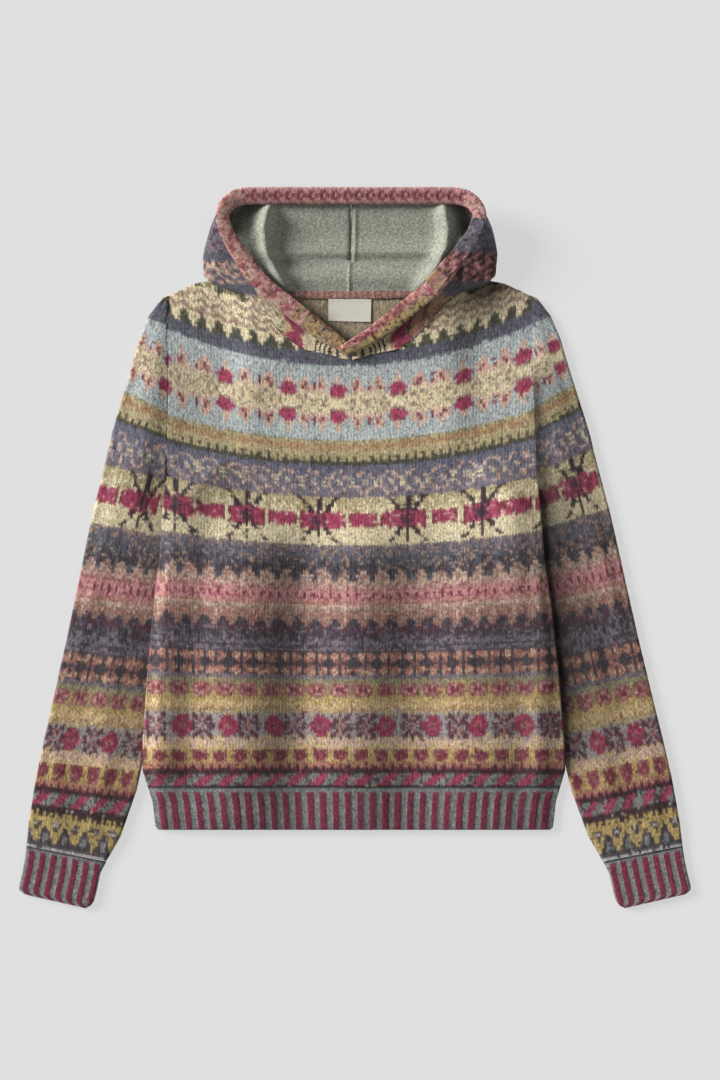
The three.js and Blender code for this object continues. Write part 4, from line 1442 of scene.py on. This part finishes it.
# %% Yarns of the hood
def hood_letters(grid, along, collar_bands, side_bands):
    """The collar's bands run along the rows; on the side, level bands are laid over them."""
    rows, legs = grid.shape[0] - 1, grid.shape[1] - 1
    collar = knit_chart(collar_bands, np.arange(legs // 2 + 1))[:rows].repeat(2, axis=1)[:, :legs]
    half = 60
    upright = knit_chart(side_bands, np.arange(-half, half + 1))
    middle = (grid[:-1, :-1] + grid[1:, 1:]) / 2
    level = middle[..., 1] - smooth((middle[..., 1] - 380) / 20) * np.maximum(22 - middle[..., 2], 0)
    row = np.clip(((level - SIDE_FROM["y"]) / ROW).astype(int), 0, len(upright) - 1)
    column = np.clip((middle[..., 0] / STITCH).astype(int) + half, 0, 2 * half)
    on_side = (level > SIDE_FROM["y"]) & (along[:-1, None] > SIDE_FROM["along"])
    return np.where(on_side, upright[row, column], collar)


# %% The two hood halves
def hood_half(name, node, side, collar_bands, side_bands):
    along = np.linspace(HOOD["along"][0], HOOD["along"][-1], HOOD_ROWS + 1)
    grid, past = hood_grid(side, along)
    points = points_of(side * grid[..., 0] + lean_at(grid[..., 1]), grid[..., 1], grid[..., 2])
    letters = hood_letters(grid, along, collar_bands, side_bands)
    keep = faces_left(past)
    piece = grid_object(name, wool_jitter(points, 0.14), keep, yarn_colours(letters, 1), up=side < 0)
    return declare(piece, node, PATTERNED)


hood_half("hood_left_knit", "hood_left", 1, COLLAR_LEFT, SIDE_LEFT)
hood_half("hood_right_knit", "hood_right", -1, COLLAR_RIGHT, SIDE_RIGHT)

# %% [markdown]
# ## The lining
#
# The lining is soft grey-green wool, woven and milled. It lies in a bowl inside the hood, with a fold
# across it, a roll down each side and deep pockets between the rolls and the band. As it lies face up and
# hides nothing, it is a height over (a, y), a sum of soft hills and steps. Shade is painted into the wool
# in the pockets, along the fold and in the centre seam's groove, and the wool is a little darker below the
# fold.

# %% Lining shape
LINING_EDGE = {
    "y": [292, 300, 315, 333, 350, 368, 382, 392, 397],
    "a": [76, 88, 104, 118, 130, 138, 141, 135, 124],
}
ROLL_LINE = {"y": [270, 297, 320, 342, 365, 400], "a": [62, 78, 94, 105, 108, 102]}
FOLD_Y = 327  # the fold across the lining


def roll_line(side, y):
    """Where the roll lies; the two don't lie quite alike."""
    return np.interp(y, ROLL_LINE["y"], ROLL_LINE["a"]) + (4 if side > 0 else -7)


def lining_height(side, a, y):
    """The bowl's floor, its two panels, the roll at its side, the slope beyond, and the wall at the band."""
    floor = POUCH["height"] + SEAM + 1.5 + LINING
    roll_at = roll_line(side, y)
    edge = np.interp(y, LINING_EDGE["y"], LINING_EDGE["a"])
    panel = 5.5 * hill(y - 311, 14) + 6 * smooth((y - 329) / 11) + 9 * smooth((y - 350) / 42)
    panel = panel * smooth((roll_at + 13 - a) / 16)
    roll = 17 * hill(a - roll_at, np.where(a > roll_at, 14, 10))
    roll = roll * smooth((y - 284) / 34) * smooth((406 - y) / 26)
    bank = 12 * smooth((a - roll_at - 4) / 14) * smooth((y - 296) / 30) * (1 - 0.5 * smooth((y - 352) / 16))
    wall = 8 * smooth((a - edge - 1) / 5) * smooth((y - 300) / 40)
    return floor + panel + roll + bank + wall


# %% The two halves of the lining
def lining_half(name, node, side):
    rows, columns = 66, 96
    level = np.linspace(LINING_EDGE["y"][0], LINING_EDGE["y"][-1], rows + 1)
    edge = np.interp(level, LINING_EDGE["y"], LINING_EDGE["a"]) + 7 * smooth((level - 300) / 20)
    a = mix(SEAM / 2, edge[:, None], np.linspace(0, 1, columns + 1) ** 0.92)
    neckline = np.maximum(top_edge(BACK_NECK, a) + 1 - level[0], 0)
    y = level[:, None] + neckline * (1 - np.linspace(0, 1, rows + 1)[:, None])
    # The centre seam is a groove above the fold and a ridge below it, with its allowance on one side.
    upper = smooth((y - FOLD_Y + 1) / 6)
    z = lining_height(side, a, y) + mix(1.4, -2.2, upper) * hill(a, 2.0)
    if side > 0:
        z = z + 1.6 * hill(a - 4.6, 2.2) * upper
    # Painted shade: darker in the pockets, in the centre seam's groove above the fold and along the fold.
    pocket = smooth((a - roll_line(side, y) - 5) / 12) * mix(0.22, 1, smooth((y - 350) / 18))
    seam_shade = 0.35 * hill(a, 1.8) * upper
    shade = (1 - seam_shade) * (1 - 0.62 * pocket) * (1 - 0.16 * hill(y - FOLD_Y, 5))
    shade = shade * mix(0.9, 1, smooth((y - 320) / 12))
    # tone is this painted shade with some random unevenness.
    tone = shade[:-1, :-1] * (1 + random.normal(0, 0.1, (rows, columns)))
    colour = linear("#989a8b") * tone[..., None]
    points = points_of(side * a + lean_at(y), y, z)
    keep = np.ones((rows, columns), bool)
    piece = grid_object(name, wool_jitter(points, 0.14), keep, colour, up=side > 0)
    return declare(piece, node, LINED)


lining_half("lining_left", "hood_lining_left", 1)
lining_half("lining_right", "hood_lining_right", -1)

# %% [markdown]
# ## The hood's hidden layers
#
# Most of the folded hood lies under the upper back, where only its layered edge could be seen. Folding
# real layers there would add faces that nobody sees. It is one rounded slab of stacked rings, drawn in a
# little between layers.


# %% Folded layers
FOLD_LAYERS = {
    "z": [0.0, 1.2, 2.4, 2.8, 3.4, 4.6, 5.6, 6.4, 8.0, POUCH["height"]],
    "inset": [1.6, 0, 0.4, 2.4, 0.4, 1.2, 3.0, 1.0, 1.4, 4.0],
}
FLAT_RINGS = [0.0, 0.4, 0.75]  # rings that close the slab below and above, from its middle outwards
CORNER_STEPS = 12


def rounded_ring(inset, shrink, z):
    """A rectangle with round corners, drawn in by inset and shrunk towards its middle."""
    ring = []
    middle_y = (POUCH["low"] + POUCH["high"]) / 2
    half_y = (POUCH["high"] - POUCH["low"]) / 2
    for quarter, (to_a, to_y) in enumerate([(1, -1), (1, 1), (-1, 1), (-1, -1)]):
        for step in range(CORNER_STEPS + 1):
            angle = math.pi / 2 * (quarter - 1 + step / CORNER_STEPS)
            radius = POUCH["corner"] - inset
            a = to_a * (POUCH["half_width"] - POUCH["corner"]) + radius * math.cos(angle)
            y = middle_y + to_y * (half_y - POUCH["corner"]) + radius * math.sin(angle)
            y = middle_y + (y - middle_y) * shrink
            ring.append((a * shrink + lean_at(y), y, z))
    return ring + ring[:1]


def hood_fold():
    levels, insets = FOLD_LAYERS["z"], FOLD_LAYERS["inset"]
    rings = [rounded_ring(insets[0], shrink, levels[0]) for shrink in FLAT_RINGS]
    rings += [rounded_ring(inset, 1.0, z) for z, inset in zip(levels, insets)]
    rings += [rounded_ring(insets[-1], shrink, levels[-1]) for shrink in FLAT_RINGS[::-1]]
    points = np.array(rings)
    rows, columns = points.shape[0] - 1, points.shape[1] - 1
    letters = np.full((rows, columns), "s")
    letters[6:] = "i"
    piece = grid_object("folded_layers", points, np.ones((rows, columns), bool), yarn_colours(letters, 1))
    shape = bmesh.new()
    shape.from_mesh(piece.data)
    bmesh.ops.remove_doubles(shape, verts=shape.verts, dist=1e-6)
    shape.to_mesh(piece.data)
    shape.free()
    return declare(piece, "hood_fold", LINED)


hood_fold()

# %% [markdown]
# ## Tape and label
#
# The join of hood and neck is bound with a narrow knitted tape, and a plain cotton label is sewn under
# it. Both are small grids: the tape is rounded across, and the label has a slight bow and two turned ends.
# The label is left bare.


# %% Neck tape
TAPE = {"from_a": -70, "to_a": 76, "low": 286, "high": 295, "lift": 3.2, "yarns": ["fzfRzfzfz", "zfRzfmzqf"]}
ON_BACK = POUCH["height"] + SEAM + KNIT  # the inner face of the back at the neck


def neck_tape():
    columns, rows = 90, 6
    a = np.linspace(TAPE["from_a"], TAPE["to_a"], columns + 1)[None, :]
    y = np.linspace(TAPE["low"], TAPE["high"], rows + 1)[:, None] + 3 * (a / 80) ** 4
    z = ON_BACK + TAPE["lift"] - 1.1 * (np.linspace(-1, 1, rows + 1)[:, None] ** 4)
    points = points_of(a + lean_at(y), y, z)
    letters = np.array([list(yarns * 10) for yarns in TAPE["yarns"]] * (rows // 2))
    keep = np.ones((rows, columns), bool)
    piece = grid_object("tape", wool_jitter(points, 0.1), keep, yarn_colours(letters, 1))
    return declare(piece, "neck_tape", EDGE)


neck_tape()

# %% Label
LABEL = {"width": 49, "length": 26, "y": 273, "tilt": -0.02}


def label():
    columns, rows = 28, 16
    across = np.linspace(-0.5, 0.5, columns + 1)[None, :] * LABEL["width"]
    along = np.linspace(-0.5, 0.5, rows + 1)[:, None] * LABEL["length"]
    cos, sin = math.cos(LABEL["tilt"]), math.sin(LABEL["tilt"])
    x = across * cos - along * sin + lean_at(LABEL["y"])
    y = across * sin + along * cos + LABEL["y"]
    bow = 1.4 * (across / LABEL["width"]) ** 2 + 0.9
    hem = 0.35 * (np.abs(along) > LABEL["length"] * 0.42)
    points = points_of(x, y, ON_BACK + SEAM + bow + hem)
    colour = np.broadcast_to(linear("#cfcbc0"), (rows, columns, 3))
    piece = grid_object("label_cloth", points, np.ones((rows, columns), bool), colour)
    return declare(piece, "label", COTTON)


label()

# %% [markdown]
# ## Studio
#
# A pale table, a large soft light from the upper left, a weaker fill, and a pale surround. The light is low
# enough for the folds to show and soft enough for the wool. The camera looks straight down from far away
# with a long lens, so that the sleeves and the hood, which lie at different heights, keep their sizes.

# %% Table, lights and camera
TABLE_REACH = 6.0
TABLE_LEVEL = -0.0003
floor_mesh = bpy.data.meshes.new("table")
corners = [(x * TABLE_REACH, y * TABLE_REACH, TABLE_LEVEL) for x, y in ((-1, -1), (1, -1), (1, 1), (-1, 1))]
floor_mesh.from_pydata(corners, [], [(0, 1, 2, 3)])
floor = bpy.data.objects.new("table", floor_mesh)
bpy.context.scene.collection.objects.link(floor)
pale = bpy.data.materials.new("pale table")
pale.use_nodes = True
pale_shader = pale.node_tree.nodes["Principled BSDF"]
pale_shader.inputs["Base Color"].default_value = (0.13, 0.13, 0.13, 1)
pale_shader.inputs["Roughness"].default_value = 0.9
pale_shader.inputs["Emission Color"].default_value = (1, 1, 1, 1)
pale_shader.inputs["Emission Strength"].default_value = 0.6
floor_mesh.materials.append(pale)


def soft_sun(name, come_from, softness, strength):
    """A light from far away; softness is how wide it looks, in degrees."""
    data = bpy.data.lights.new(name, "SUN")
    data.angle = math.radians(softness)
    data.energy = strength
    lamp = bpy.data.objects.new(name, data)
    lamp.rotation_euler = Vector(come_from).to_track_quat("Z", "Y").to_euler()
    bpy.context.scene.collection.objects.link(lamp)


soft_sun("key", (-0.82, 0.36, 0.43), 24, 5.3)
soft_sun("fill", (0.8, -0.3, 0.6), 90, 0.4)
world = bpy.data.worlds.new("surround")
world.use_nodes = True
world.node_tree.nodes["Background"].inputs["Color"].default_value = (1, 1, 1, 1)
world.node_tree.nodes["Background"].inputs["Strength"].default_value = 0.17
bpy.context.scene.world = world
bpy.context.scene.view_settings.view_transform = "Standard"

VIEW_HEIGHT = 1.242  # how much of the table is in view from top to bottom, in metres
camera_data = bpy.data.cameras.new("camera")
camera_data.lens = 200
camera_data.sensor_width = 36
camera = bpy.data.objects.new("camera", camera_data)
camera.location = (0.00575, 0.0092, VIEW_HEIGHT * camera_data.lens / camera_data.sensor_width)
camera_data.clip_end = 50
bpy.context.scene.collection.objects.link(camera)
bpy.context.scene.camera = camera
